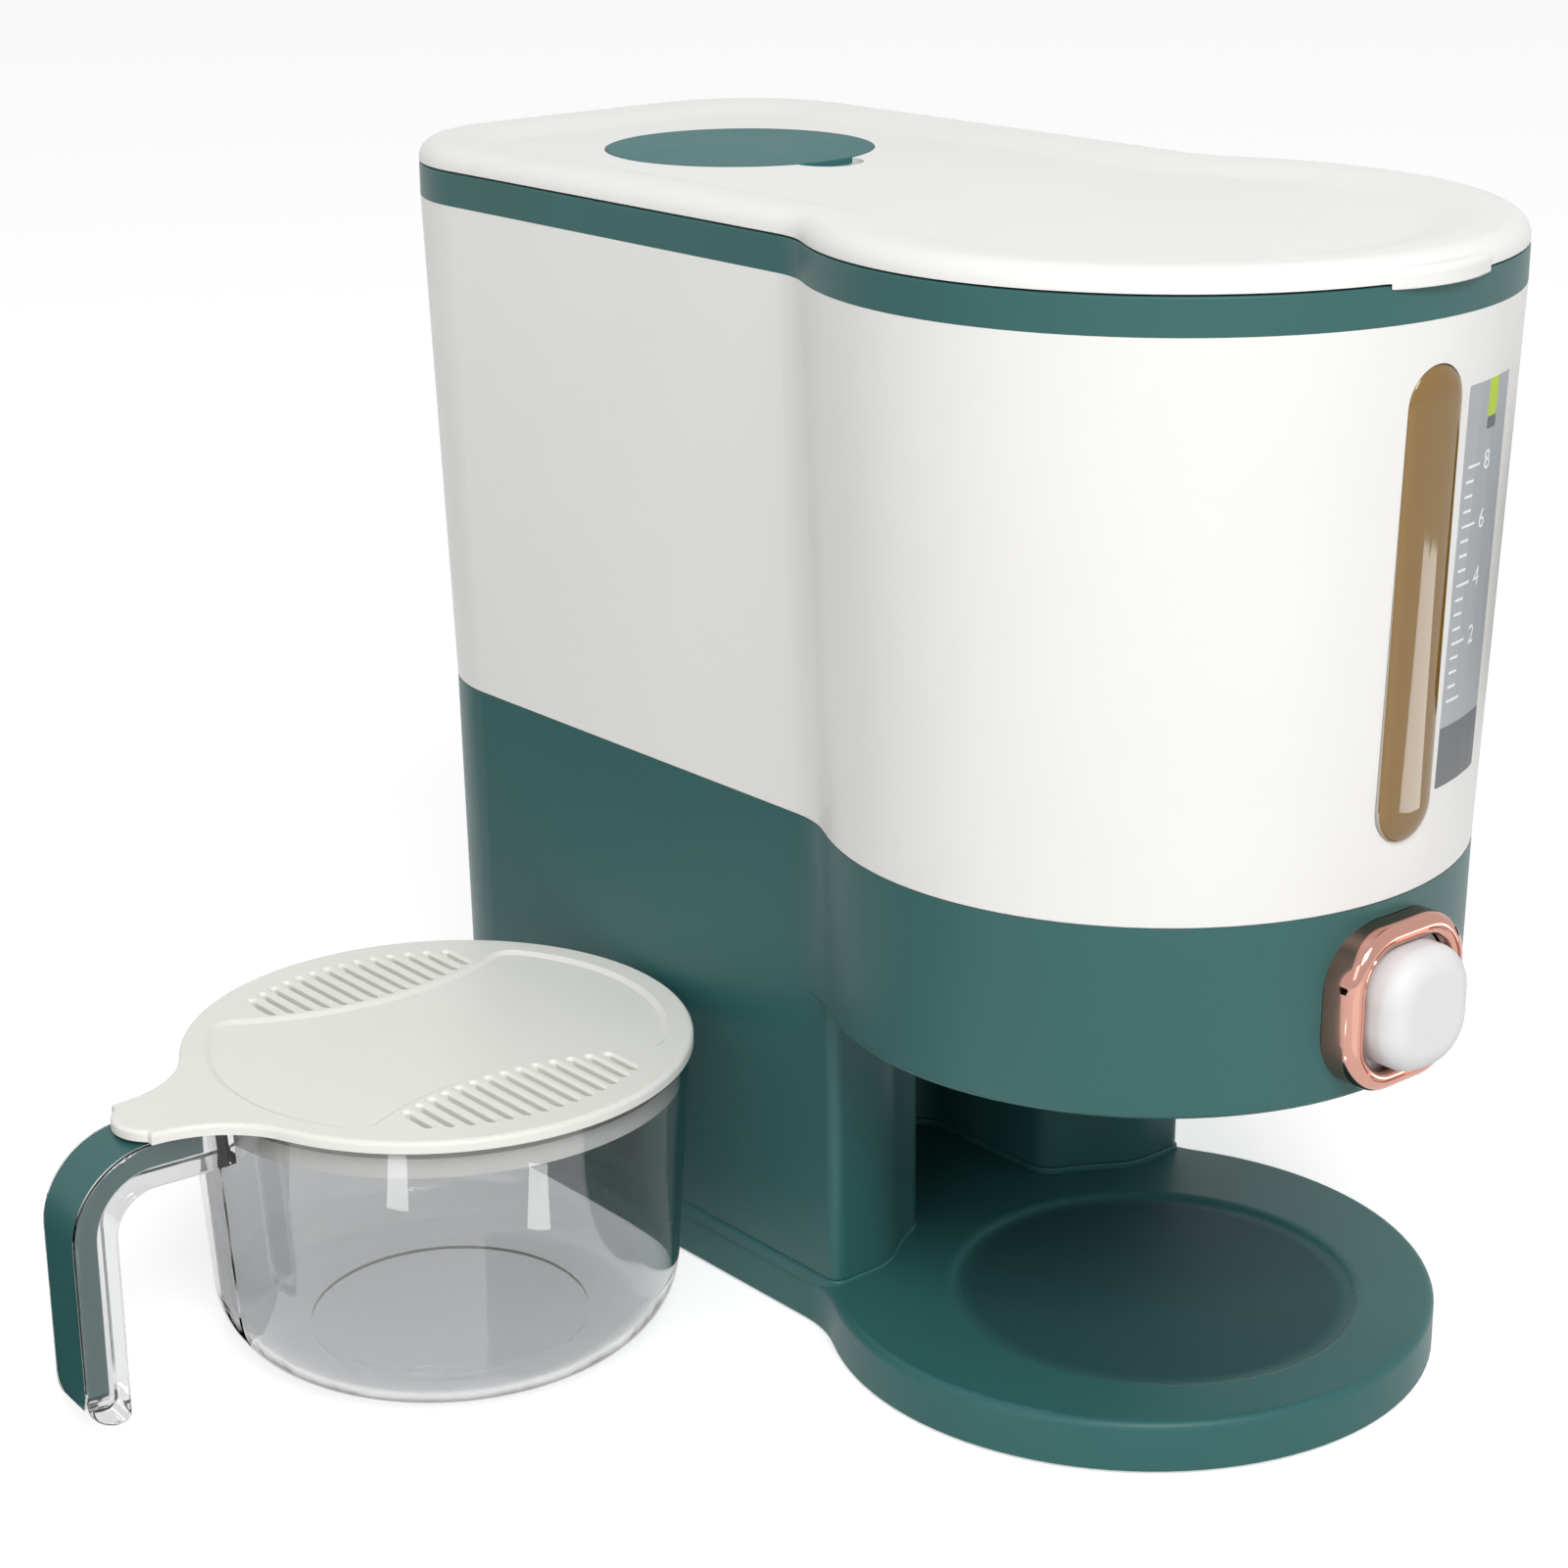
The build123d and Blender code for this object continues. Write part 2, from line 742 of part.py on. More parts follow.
def make_shutter_gate():
    half = gate_width / 2
    gate = block(-half, half, gate_front, seat_y + gate_behind, gate_low, gate_top)
    half = tongue_width / 2
    gate += block(-half, half, tab_front, gate_front, gate_low, gate_top)
    tab = block(-half, half, tab_front, tab_rear, gate_low, button_z + tab_rise)
    top_corners = tab.edges().filter_by(Axis.Y).group_by(Axis.Z)[-1]
    gate += fillet(top_corners, tab_corner)
    foot = (tab_rear + gusset_length, gate_top)
    gusset = Polyline((tab_rear, gate_top), foot, (tab_rear, button_z), close=True)
    web = extrude(Plane.YZ * make_face(gusset), gusset_wall)
    gate += Pos(-half, 0, 0) * web
    gate += Pos(half - gusset_wall, 0, 0) * web
    gate -= spindle(button_screw_radius + fit_gap, tab_front - overrun, tab_rear + overrun, button_z)
    return gate - Pos(0, -button_travel, 0) * outlet_block(0, gate_low - overrun, gate_top + overrun)


def biarc(start, start_way, end, end_way):
    """Two tangent arcs that join two points along given directions."""
    span = end - start
    turn = 2 * (1 - start_way.dot(end_way))
    along = span.dot(start_way + end_way)
    reach = (math.sqrt(along**2 + turn * span.dot(span)) - along) / turn
    middle = (start + end + (start_way - end_way) * reach) / 2
    first = Edge.make_tangent_arc(start, start_way, middle)
    return [first, Edge.make_tangent_arc(middle, first % 1, end)]


def spring_path():
    """Centre line of the return spring, from the gate's tab to the guide's post."""
    start = tab_rear + seat_play + spring_wire / 2
    end = guide_front - seat_play - spring_wire / 2
    pitch = (end - start) / spring_turns
    arcs = []
    places = []
    for step in range(2 * spring_turns + 1):
        angle = math.pi * step
        across = Vector(math.cos(angle), 0, math.sin(angle)) * spring_radius
        rise = pitch / (2 * math.pi)
        way = Vector(-math.sin(angle) * spring_radius, rise, math.cos(angle) * spring_radius)
        places.append((across + Vector(0, start + pitch * step / 2, spring_z), way.normalized()))
    for (near, near_way), (far, far_way) in zip(places, places[1:]):
        arcs += biarc(near, near_way, far, far_way)
    return Wire(arcs)


def least_gap(path, turns, wire):
    """Smallest gap between one turn of a wound wire and the next, measured on points."""
    count = turns * spring_samples
    points = [path @ (step / count) for step in range(count + 1)]
    apart = spring_samples // 2
    pairs = [(a, b) for a in range(count + 1) for b in range(a + apart, count + 1)]
    return min((points[a] - points[b]).length for a, b in pairs) - wire


def make_return_spring():
    path = spring_path()
    gap = least_gap(path, spring_turns, spring_wire)
    print("return spring: least gap between turns", round(gap, 2), "mm")
    profile = Plane(path @ 0, z_dir=path % 0) * Circle(spring_wire / 2)
    return sweep(profile, path)


def make_outlet_spout():
    spout = outlet_block(spout_wall, belly_z, belly_top + guide_plate)
    spout = chamfer(low_edges(spout), spout_edge)
    spout += outlet_block(spout_wall + spout_flange, belly_top, belly_top + spout_flange_thickness)
    return spout - outlet_block(0, belly_z - overrun, gate_low)


def button_outline(grow):
    """Outline of the push button, grown by a margin."""
    return squircle(button_width + 2 * grow, button_height + 2 * grow, button_corner + grow)


def make_button_bezel():
    body = front_block(squircle(bezel_width, bezel_height, bezel_corner), bezel_face, bezel_back)
    body = fillet(front_edges(body), bezel_round)
    ring = bezel_play + bezel_ring
    dish_floor = bezel_face + bezel_dish_depth
    spread = math.degrees(math.atan2(bezel_dish, bezel_dish_depth))
    dish = Pos(0, dish_floor, button_z) * button_outline(ring)
    body -= extrude(dish, bezel_dish_depth + overrun, taper=-spread)
    body += front_block(button_outline(ring), bezel_face + bezel_ring_drop, dish_floor + overrun)
    body -= front_block(button_outline(bezel_play), bezel_face - overrun, bezel_back + overrun)
    chamber = button_outline(bezel_play + button_flange)
    body -= front_block(chamber, bezel_face + bezel_lip, bezel_back + overrun)
    reach = bezel_width / 2 + clip_hook
    inner = drum_radius - skin(button_z) - lower_wall
    ridge_front = drum_y - math.sqrt(inner**2 - reach**2) + slide_gap
    low = button_z - clip_height / 2
    for side in (-1, 1):
        near, far = sorted((side * (reach - clip_hook - overrun), side * reach))
        body += block(near, far, ridge_front, bezel_back, low, low + clip_height)
    return body


def make_button_cap():
    front = belly_front - button_front
    shelf = bezel_face + bezel_lip + slide_gap
    rear = shelf + button_flange_thickness
    cap = front_block(button_outline(0), front, rear)
    cap = fillet(front_edges(cap), button_crown)
    cap += front_block(button_outline(button_flange), shelf, rear)
    hollow = front_block(button_outline(-button_wall), front + button_wall, rear + overrun)
    cap -= fillet(front_edges(hollow), button_crown - button_wall)
    cap += spindle(button_boss_radius, front + button_wall / 2, tab_front, button_z)
    pilot = tab_rear - button_screw_length - fit_gap
    return cap - spindle(button_screw_radius + fit_gap, pilot, tab_front + overrun, button_z)


def make_button_screw():
    one = screw(button_screw_head_radius, button_screw_head_height, button_screw_radius, button_screw_length)
    return Pos(0, tab_rear, button_z) * (Rot(90, 0, 0) * one)


def lid_dish():
    """Space of the sunken panel in the top of the lid, with soft S-shaped sides."""
    sections = []
    for step in range(lid_dish_steps + 1):
        share = step / lid_dish_steps
        fall = share**2 * (3 - 2 * share)
        sections.append(at(lid_top - lid_panel_depth * fall, keyhole(lid_border + lid_slope * share)))
    return loft(sections, ruled=True) + prism(lid_border, lid_top, lid_top + overrun)


def finger_tab():
    """Tab that swells out of the lid's front edge and overhangs the trim band."""
    half = lid_tab_width / 2
    low = band_top - lid_tab_low
    high = band_top + lid_tab_high
    sagitta = lid_tab_reach + drum_radius - math.sqrt(drum_radius**2 - half**2)
    radius = (half**2 + sagitta**2) / (2 * sagitta)
    y = drum_y - drum_radius - lid_tab_reach + radius
    tab = rod(radius, low, high, 0, y)
    tab = fillet(top_edges(tab), lid_tab_crown)
    tab = fillet(low_edges(tab), lid_tab_round)
    tab -= prism(lid_round, low - overrun, high + overrun)
    tab &= block(-half, half, drum_y - 2 * drum_radius, drum_y, low, high)
    return tab - prism(-lid_tab_gap, low - overrun, lid_low)


def make_lid():
    plate = prism(0, lid_low, lid_top)
    plate = fillet(top_edges(plate), lid_round)
    dish = lid_dish()
    hollow = prism(lid_round + lid_plate, lid_low - overrun, lid_top - lid_plate)
    hollow -= Pos(0, 0, -lid_plate) * dish
    lid = plate - dish - hollow + finger_tab()
    face = tank_wall + lid_skirt_gap
    skirt_low = lid_low - lid_skirt_depth
    skirt = prism(face, skirt_low, lid_low + lid_plate)
    skirt -= prism(face + lid_skirt_wall, skirt_low - overrun, lid_top)
    seal_top = lid_low - seal_drop
    skirt -= prism(0, seal_top - seal_height, seal_top) - prism(face + seal_groove, skirt_low, lid_top)
    lid += skirt
    seat = cap_z - box_flange_thickness
    turn = math.radians(notch_angle)
    notch_x = cap_radius * math.cos(turn)
    notch_y = well_y + cap_radius * math.sin(turn)
    notch_z = cap_z - notch_depth
    lid += rod(cap_radius + lift_gap + lid_plate, seat - lid_plate, panel_z, 0, well_y)
    lid += rod(notch_radius + lid_plate, notch_z - lid_plate, panel_z, notch_x, notch_y)
    lid -= rod(box_radius + fit_gap, notch_z - lid_plate - overrun, lid_top, 0, well_y)
    lid -= rod(box_radius + box_flange + fit_gap, seat, lid_top, 0, well_y)
    lid -= rod(cap_radius + lift_gap, cap_z, lid_top, 0, well_y)
    notch = rod(notch_radius, notch_z, lid_top, notch_x, notch_y)
    return lid - (notch - rod(box_radius + fit_gap + lid_plate, notch_z, seat, 0, well_y))


def make_lid_seal():
    face = tank_wall + lid_skirt_gap
    seal_top = lid_low - seal_drop
    seal = prism(tank_wall + lift_gap, seal_top - seal_height, seal_top)
    seal = fillet(low_edges(seal), seal_round)
    seal = fillet(top_edges(seal), seal_round)
    return seal - prism(face + seal_groove - fit_gap, seal_top - seal_height - overrun, seal_top + overrun)


def make_desiccant_box():
    low = cap_z - box_depth
    box = rod(box_radius, low, cap_z, 0, well_y)
    box = fillet(low_edges(box), box_edge)
    box += rod(box_radius + box_flange, cap_z - box_flange_thickness, cap_z, 0, well_y)
    inside = rod(box_radius - box_wall, low + box_wall, cap_z + overrun, 0, well_y)
    box -= fillet(low_edges(inside), box_edge - box_wall)
    reach = box_radius - box_edge - vent_margin
    count = int(reach / vent_pitch)
    for step in range(-count, count + 1):
        x = step * vent_pitch
        length = 2 * math.sqrt(reach**2 - x**2) + vent_width
        vent = Rot(0, 0, 90) * SlotOverall(length, vent_width)
        box -= Pos(x, well_y, low - overrun) * extrude(vent, box_wall + 2 * overrun)
    return box


def make_desiccant_cap():
    cap = rod(cap_radius, cap_z, cap_z + cap_thickness, 0, well_y)
    cap = fillet(top_edges(cap), cap_edge)
    plug = box_radius - box_wall - lift_gap
    cap += rod(plug, cap_z - cap_plug_depth, cap_z, 0, well_y)
    return cap - rod(plug - cap_plug_wall, cap_z - cap_plug_depth - overrun, cap_z, 0, well_y)


def cup_radius(level):
    """Outer radius of the cup's straight wall at a level."""
    return cup_foot_radius + (cup_rim_radius - cup_foot_radius) * level / cup_rim_z


def cup_solid(wall, low, high, foot_round):
    """Round block of the cup's taper, inset by a wall, with a rounded foot."""
    corners = [(0, low), (cup_radius(low) - wall, low), (cup_radius(high) - wall, high), (0, high)]
    face = Plane.XZ * make_face(Polyline(*corners, close=True))
    return fillet(low_edges(revolve(face, Axis.Z)), foot_round)


def handle_bar(near, far, width, start, end):
    """Bent bar of the handle between two depths under its outer face, on the cup's +X side."""
    x = handle_reach - handle_bend
    z = handle_top_z - handle_bend
    edges = [
        Line((start, handle_top_z - near), (x, handle_top_z - near)),
        CenterArc((x, z), handle_bend - near, 0, 90),
        Line((handle_reach - near, z), (handle_reach - near, end)),
        Line((handle_reach - near, end), (handle_reach - far, end)),
        Line((handle_reach - far, end), (handle_reach - far, z)),
        CenterArc((x, z), handle_bend - far, 0, 90),
        Line((x, handle_top_z - far), (start, handle_top_z - far)),
        Line((start, handle_top_z - far), (start, handle_top_z - near)),
    ]
    return extrude(Plane.XZ * make_face(edges), width / 2, both=True)


def rounded_bar():
    """The whole handle bar with its lower end and its long edges rounded."""
    bar = handle_bar(0, handle_depth, handle_width, cup_rim_radius - 2 * cup_wall, handle_low_z)
    toe = low_edges(bar).filter_by(Axis.Y).sort_by(Axis.X)
    bar = fillet(toe[-1], handle_end_round)
    toe = low_edges(bar).filter_by(Axis.Y).sort_by(Axis.X)
    bar = fillet(toe[0], handle_toe_round)
    start = bar.bounding_box().min.X + fit_gap
    sides = bar.edges().filter_by(lambda edge: abs(abs((edge @ 0.5).Y) - handle_width / 2) < fit_gap)
    return fillet([edge for edge in sides if (edge @ 0.5).X > start], handle_edge)


def strip_block(grow):
    """Block of the handle's coloured strip, out past the handle's face, grown by a margin."""
    width = handle_width - 2 * (strip_side + fit_gap - grow)
    start = cup_rim_radius + strip_start - grow
    end = handle_low_z + strip_end - grow
    strip = handle_bar(-overrun, strip_depth + grow, width, start, end)
    corners = low_edges(strip).filter_by(Axis.X)
    return fillet(corners, strip_corner + grow)


def place_cup(shape):
    """Turn a shape drawn about the cup's axis and set it at the cup's place."""
    return Pos(cup_x, cup_y, 0) * (Rot(0, 0, cup_turn) * shape)


def make_cup():
    shell = cup_solid(0, 0, cup_rim_z, cup_foot_round)
    inside = cup_solid(cup_wall, cup_floor, cup_rim_z + overrun, cup_foot_round - cup_wall)
    shell -= inside
    shell = fillet(top_edges(shell), cup_rim_round)
    flat = cup_foot_radius - cup_foot_round - cup_foot_ring
    shell -= rod(flat, 0, cup_foot_rise, 0, 0)
    return place_cup(shell + (rounded_bar() - strip_block(fit_gap) - inside))


def make_handle_insert():
    return place_cup(strip_block(0) & rounded_bar())


def cup_lid_outline():
    """Round outline of the cup's lid with its thumb tab, joined by hollow blends."""
    reach = cup_tab_reach - cup_tab_radius
    blend_y = cup_tab_radius + cup_tab_blend
    blend_x = math.sqrt((cup_lid_radius + cup_tab_blend) ** 2 - blend_y**2)
    share = cup_lid_radius / (cup_lid_radius + cup_tab_blend)
    neck = make_face(
        Polyline(
            (0, 0),
            (blend_x * share, blend_y * share),
            (blend_x, blend_y),
            (blend_x, -blend_y),
            (blend_x * share, -blend_y * share),
            close=True,
        )
    )
    for side in (-1, 1):
        neck -= Pos(blend_x, side * blend_y) * Circle(cup_tab_blend)
    tab = Pos(reach / 2, 0) * Rectangle(reach, 2 * cup_tab_radius)
    return Circle(cup_lid_radius) + neck + tab + Pos(reach, 0) * Circle(cup_tab_radius)


def strain_slots():
    """Outlines of one straining row, with ends along the lid's edge and along an inner arc."""
    slots = []
    for step in range(strain_count):
        x = strain_first_x + step * strain_pitch
        outer = math.sqrt(strain_outer_radius**2 - x**2)
        inner = strain_arc_y - math.sqrt(strain_arc_radius**2 - (x - strain_arc_x) ** 2)
        slot = Rot(0, 0, 90) * SlotOverall(outer - inner, strain_width)
        slots.append(Pos(x, (outer + inner) / 2) * slot)
    return slots


def lid_panel():
    """Outline of the sunken middle of the cup's lid, between the two straining rows."""
    panel = Circle(cup_lid_radius - panel_margin)
    island = Pos(strain_arc_x, strain_arc_y) * Circle(strain_arc_radius + panel_gap)
    panel = panel - island - Rot(0, 0, 180) * island
    return fillet(panel.vertices(), panel_corner)


def make_cup_lid():
    low = cup_rim_z
    high = low + cup_lid_thickness
    disc = extrude(at(low, cup_lid_outline()), cup_lid_thickness)
    disc = fillet(top_edges(disc), cup_lid_edge)
    disc = Rot(0, 0, cup_turn) * disc
    disc -= extrude(at(high - panel_dip, lid_panel()), panel_dip + overrun, taper=-panel_slope)
    for slot in strain_slots():
        cut = extrude(at(low - overrun, slot), cup_lid_thickness + 2 * overrun)
        cut += extrude(at(high - bar_drop, slot), bar_drop + lift_gap, taper=-bar_slope)
        disc = disc - cut - Rot(0, 0, 180) * cut
    band_top_z = low - cup_lid_neck_height
    skirt = rod(cup_lid_neck_radius, band_top_z, low, 0, 0)
    skirt += rod(cup_lid_band_radius, band_top_z - cup_lid_band_height, band_top_z, 0, 0)
    skirt -= rod(cup_lid_neck_radius - cup_lid_skirt_wall, 0, low, 0, 0)
    return Pos(cup_x, cup_y, 0) * (disc + skirt)


builders = {
    "base_tray": make_base_tray,
    "foot_pads": make_foot_pads,
    "base_screws": make_base_screws,
    "lower_body": make_lower_body,
    "tank": make_tank,
    "rim_band": make_rim_band,
    "window_lens": make_window_lens,
    "hopper": make_hopper,
    "gate_guide": make_gate_guide,
    "guide_screws": make_guide_screws,
    "outlet_spout": make_outlet_spout,
    "return_spring": make_return_spring,
    "button_bezel": make_button_bezel,
    "button_cap": make_button_cap,
    "shutter_gate": make_shutter_gate,
    "button_screw": make_button_screw,
    "lid": make_lid,
    "lid_seal": make_lid_seal,
    "desiccant_box": make_desiccant_box,
    "desiccant_cap": make_desiccant_cap,
    "cup": make_cup,
    "handle_insert": make_handle_insert,
    "cup_lid": make_cup_lid,
}

if __name__ == "__main__":
    os.makedirs("parts", exist_ok=True)
    for name, make in builders.items():
        export_step(make(), f"parts/{name}.step")
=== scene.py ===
"""Looks of a rice dispenser and its measuring cup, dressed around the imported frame. Metres, +Z up."""

import logging
import math
from collections.abc import Iterator
from contextlib import contextmanager
from dataclasses import dataclass
from enum import Enum
from typing import Any

import bmesh
import bpy
from mathutils import Matrix, Vector


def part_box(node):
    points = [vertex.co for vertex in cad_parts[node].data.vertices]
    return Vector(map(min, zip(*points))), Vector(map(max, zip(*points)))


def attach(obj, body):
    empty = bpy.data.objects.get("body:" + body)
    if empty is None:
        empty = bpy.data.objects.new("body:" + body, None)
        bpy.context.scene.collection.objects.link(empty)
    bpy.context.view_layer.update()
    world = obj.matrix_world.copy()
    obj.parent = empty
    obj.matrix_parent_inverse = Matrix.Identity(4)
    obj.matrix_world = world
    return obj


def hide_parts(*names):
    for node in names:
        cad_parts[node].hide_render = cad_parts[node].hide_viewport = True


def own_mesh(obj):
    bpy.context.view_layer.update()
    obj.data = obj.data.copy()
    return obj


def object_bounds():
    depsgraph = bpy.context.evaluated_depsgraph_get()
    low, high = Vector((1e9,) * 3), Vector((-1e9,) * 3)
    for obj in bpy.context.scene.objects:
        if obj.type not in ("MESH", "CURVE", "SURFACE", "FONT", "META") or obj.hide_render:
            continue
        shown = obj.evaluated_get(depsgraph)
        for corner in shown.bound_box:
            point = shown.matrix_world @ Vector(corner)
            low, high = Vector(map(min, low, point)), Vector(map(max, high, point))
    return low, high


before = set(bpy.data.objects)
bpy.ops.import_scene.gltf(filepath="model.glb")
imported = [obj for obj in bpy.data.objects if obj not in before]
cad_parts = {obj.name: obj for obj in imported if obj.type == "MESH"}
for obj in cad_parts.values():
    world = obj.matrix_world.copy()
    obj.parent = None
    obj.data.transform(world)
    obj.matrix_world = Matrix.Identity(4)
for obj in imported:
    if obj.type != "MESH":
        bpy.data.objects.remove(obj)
cad_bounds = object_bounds()

log = logging.getLogger("rice_dispenser")
MM = 0.001
MERGE = 0.003 * MM
SMOOTH_ANGLE = math.radians(40)


class Body(Enum):
    """Bodies of the frame that the new pieces ride on."""

    HOUSING = "housing"


class Slot(Enum):
    """Material slots of the record."""

    WHITE = "white_plastic"
    CLEAR = "clear_plastic"
    STEEL = "steel"
    PLATING = "rose_gold_plating"


def linear(hex_colour: str) -> tuple[float, float, float, float]:
    """Turn an sRGB hex colour into linear red, green, blue and alpha.

    Args:
        hex_colour: Colour such as "#2d5554".

    Returns:
        The linear colour with full alpha.
    """
    shares = [int(hex_colour[at:at + 2], 16) / 255 for at in (1, 3, 5)]
    red, green, blue = (s / 12.92 if s <= 0.04045 else ((s + 0.055) / 1.055) ** 2.4 for s in shares)
    return red, green, blue, 1.0


def add_node(
    tree: bpy.types.NodeTree, kind: str, inputs: dict[str | int, Any] | None = None, **settings: Any
) -> bpy.types.Node:
    """Add a shader node with its settings, values and links.

    Args:
        tree: Node tree that gets the node.
        kind: Blender's name for the type of node, without "ShaderNode".
        inputs: Value or output socket for each input, by the input's name or number.
        settings: Properties of the node itself.

    Returns:
        The new node.
    """
    made = tree.nodes.new("ShaderNode" + kind)
    for key, value in settings.items():
        setattr(made, key, value)
    for key, value in (inputs or {}).items():
        if isinstance(value, bpy.types.NodeSocket):
            tree.links.new(value, made.inputs[key])
        else:
            made.inputs[key].default_value = value
    return made


def new_material(name: str) -> tuple[bpy.types.Material, bpy.types.NodeTree]:
    """Make an empty material that uses nodes.

    Args:
        name: Name of the material.

    Returns:
        The material and its node tree.
    """
    material = bpy.data.materials.new(name)
    material.use_nodes = True
    material.node_tree.nodes.clear()
    return material, material.node_tree


def background_seen(tree: bpy.types.NodeTree) -> bpy.types.NodeSocket:
    """Tell the rays that look at the background from the rays that light the object.

    Args:
        tree: Node tree of the background.

    Returns:
        Socket that is 1 for camera, glossy and transmission rays and 0 for the others.
    """
    path = add_node(tree, "LightPath")
    straight = {0: path.outputs["Is Camera Ray"], 1: path.outputs["Is Glossy Ray"]}
    seen = add_node(tree, "Math", straight, operation="MAXIMUM")
    through = {0: seen.outputs[0], 1: path.outputs["Is Transmission Ray"]}
    return add_node(tree, "Math", through, operation="MAXIMUM").outputs[0]


@dataclass(frozen=True)
class MouldedPlastic:
    """Opaque injection-moulded plastic: an even colour with faint flow marks and a fine eroded grain.

    The sizes of its patterns are in millimetres, as in the other finishes.
    """

    name: str
    colour: str
    flow_colour: str
    roughness: float
    gloss: float = 0.3
    ior: float = 1.53
    grain: float = 0.7
    grain_height: float = 0.012
    grain_detail: float = 2.0
    grain_strength: float = 0.5
    flow: float = 45.0
    flow_detail: float = 3.0
    roughness_swing: float = 0.05

    def material(self) -> bpy.types.Material:
        """Build the material.

        Returns:
            The finished material.
        """
        material, tree = new_material(self.name)
        place = add_node(tree, "TexCoord").outputs["Object"]
        waves = {"Vector": place, "Scale": 1 / (self.flow * MM), "Detail": self.flow_detail}
        flow = add_node(tree, "TexNoise", waves)
        # The real grain is about a quarter of this size; it is drawn coarser so that it shows in the render.
        pits = {"Vector": place, "Scale": 1 / (self.grain * MM), "Detail": self.grain_detail}
        grain = add_node(tree, "TexNoise", pits)
        shades = {0: flow.outputs["Fac"], 6: linear(self.colour), 7: linear(self.flow_colour)}
        colour = add_node(tree, "Mix", shades, data_type="RGBA")
        roughness = add_node(tree, "MapRange", {
            "Value": flow.outputs["Fac"],
            "To Min": self.roughness - self.roughness_swing,
            "To Max": self.roughness + self.roughness_swing,
        })
        bump = add_node(tree, "Bump", {
            "Height": grain.outputs["Fac"],
            "Strength": self.grain_strength,
            "Distance": self.grain_height * MM,
        })
        base, rough = self.patched(tree, place, colour.outputs[2], roughness.outputs["Result"])
        shader = add_node(tree, "BsdfPrincipled", {
            "Base Color": base,
            "Roughness": rough,
            "Normal": bump.outputs["Normal"],
            "IOR": self.ior,
            "Specular IOR Level": self.gloss,
        })
        add_node(tree, "OutputMaterial", {"Surface": shader.outputs["BSDF"]})
        return material

    def patched(
        self, tree: bpy.types.NodeTree, place: bpy.types.NodeSocket, colour: bpy.types.NodeSocket,
        roughness: bpy.types.NodeSocket,
    ) -> tuple[bpy.types.NodeSocket, bpy.types.NodeSocket]:
        """Leave the colour and the roughness as they are, for finishes without a patch."""
        return colour, roughness


@dataclass(frozen=True)
class PatchedPlastic(MouldedPlastic):
    """Moulded plastic with a round area of duller eroded texture, whose colour is darkened by painted shade.
    """

    centre: tuple[float, float, float] = (0.0, 0.0, 0.0)
    radius: float = 58.0
    blur: float = 3.0
    # Colour of the painted shade over the seat's round, standing in for the shadow under the casing's
    # overhang.
    patch_painted_shade: str = "#24484a"
    patch_roughness: float = 0.62

    def patched(
        self, tree: bpy.types.NodeTree, place: bpy.types.NodeSocket, colour: bpy.types.NodeSocket,
        roughness: bpy.types.NodeSocket,
    ) -> tuple[bpy.types.NodeSocket, bpy.types.NodeSocket]:
        """Mix the patch's painted shade and its duller roughness in round its centre.

        Args:
            tree: Node tree of the material.
            place: Place on the object.
            colour: Colour without the patch.
            roughness: Roughness without the patch.

        Returns:
            The colour and the roughness with the patch.
        """
        away = add_node(tree, "VectorMath", {0: place, 1: self.centre}, operation="DISTANCE")
        mask = add_node(tree, "MapRange", {
            "Value": away.outputs["Value"],
            "From Min": (self.radius + self.blur) * MM,
            "From Max": (self.radius - self.blur) * MM,
        })
        share = mask.outputs["Result"]
        # Painted shade: the colour is darkened inside the seat's round; only the roughness is the real duller
        # texture.
        mixed = add_node(tree, "Mix", {0: share, 6: colour, 7: linear(self.patch_painted_shade)}, data_type="RGBA")
        dull = add_node(tree, "Mix", {0: share, 2: roughness, 3: self.patch_roughness})
        return mixed.outputs[2], dull.outputs[0]


@dataclass(frozen=True)
class ClearPlastic:
    """Transparent moulded plastic: polished, faintly tinted, with slow ripples from the mould."""

    name: str
    colour: str
    transmission: float
    roughness: float
    ior: float = 1.57
    ripple: float = 14.0
    ripple_height: float = 0.03
    ripple_detail: float = 1.0
    ripple_strength: float = 0.6

    def material(self) -> bpy.types.Material:
        """Build the material, which lets the lamps' light through for shadows.

        Returns:
            The finished material.
        """
        material, tree = new_material(self.name)
        place = add_node(tree, "TexCoord").outputs["Object"]
        waves = {"Vector": place, "Scale": 1 / (self.ripple * MM), "Detail": self.ripple_detail}
        ripple = add_node(tree, "TexNoise", waves)
        bump = add_node(tree, "Bump", {
            "Height": ripple.outputs["Fac"],
            "Strength": self.ripple_strength,
            "Distance": self.ripple_height * MM,
        })
        shader = add_node(tree, "BsdfPrincipled", {
            "Base Color": linear(self.colour),
            "Roughness": self.roughness,
            "IOR": self.ior,
            "Transmission Weight": self.transmission,
            "Normal": bump.outputs["Normal"],
        })
        through = add_node(tree, "BsdfTransparent", {"Color": linear(self.colour)})
        path = add_node(tree, "LightPath")
        mixed = add_node(tree, "MixShader", {
            0: path.outputs["Is Shadow Ray"],
            1: shader.outputs["BSDF"],
            2: through.outputs["BSDF"],
        })
        add_node(tree, "OutputMaterial", {"Surface": mixed.outputs["Shader"]})
        return material


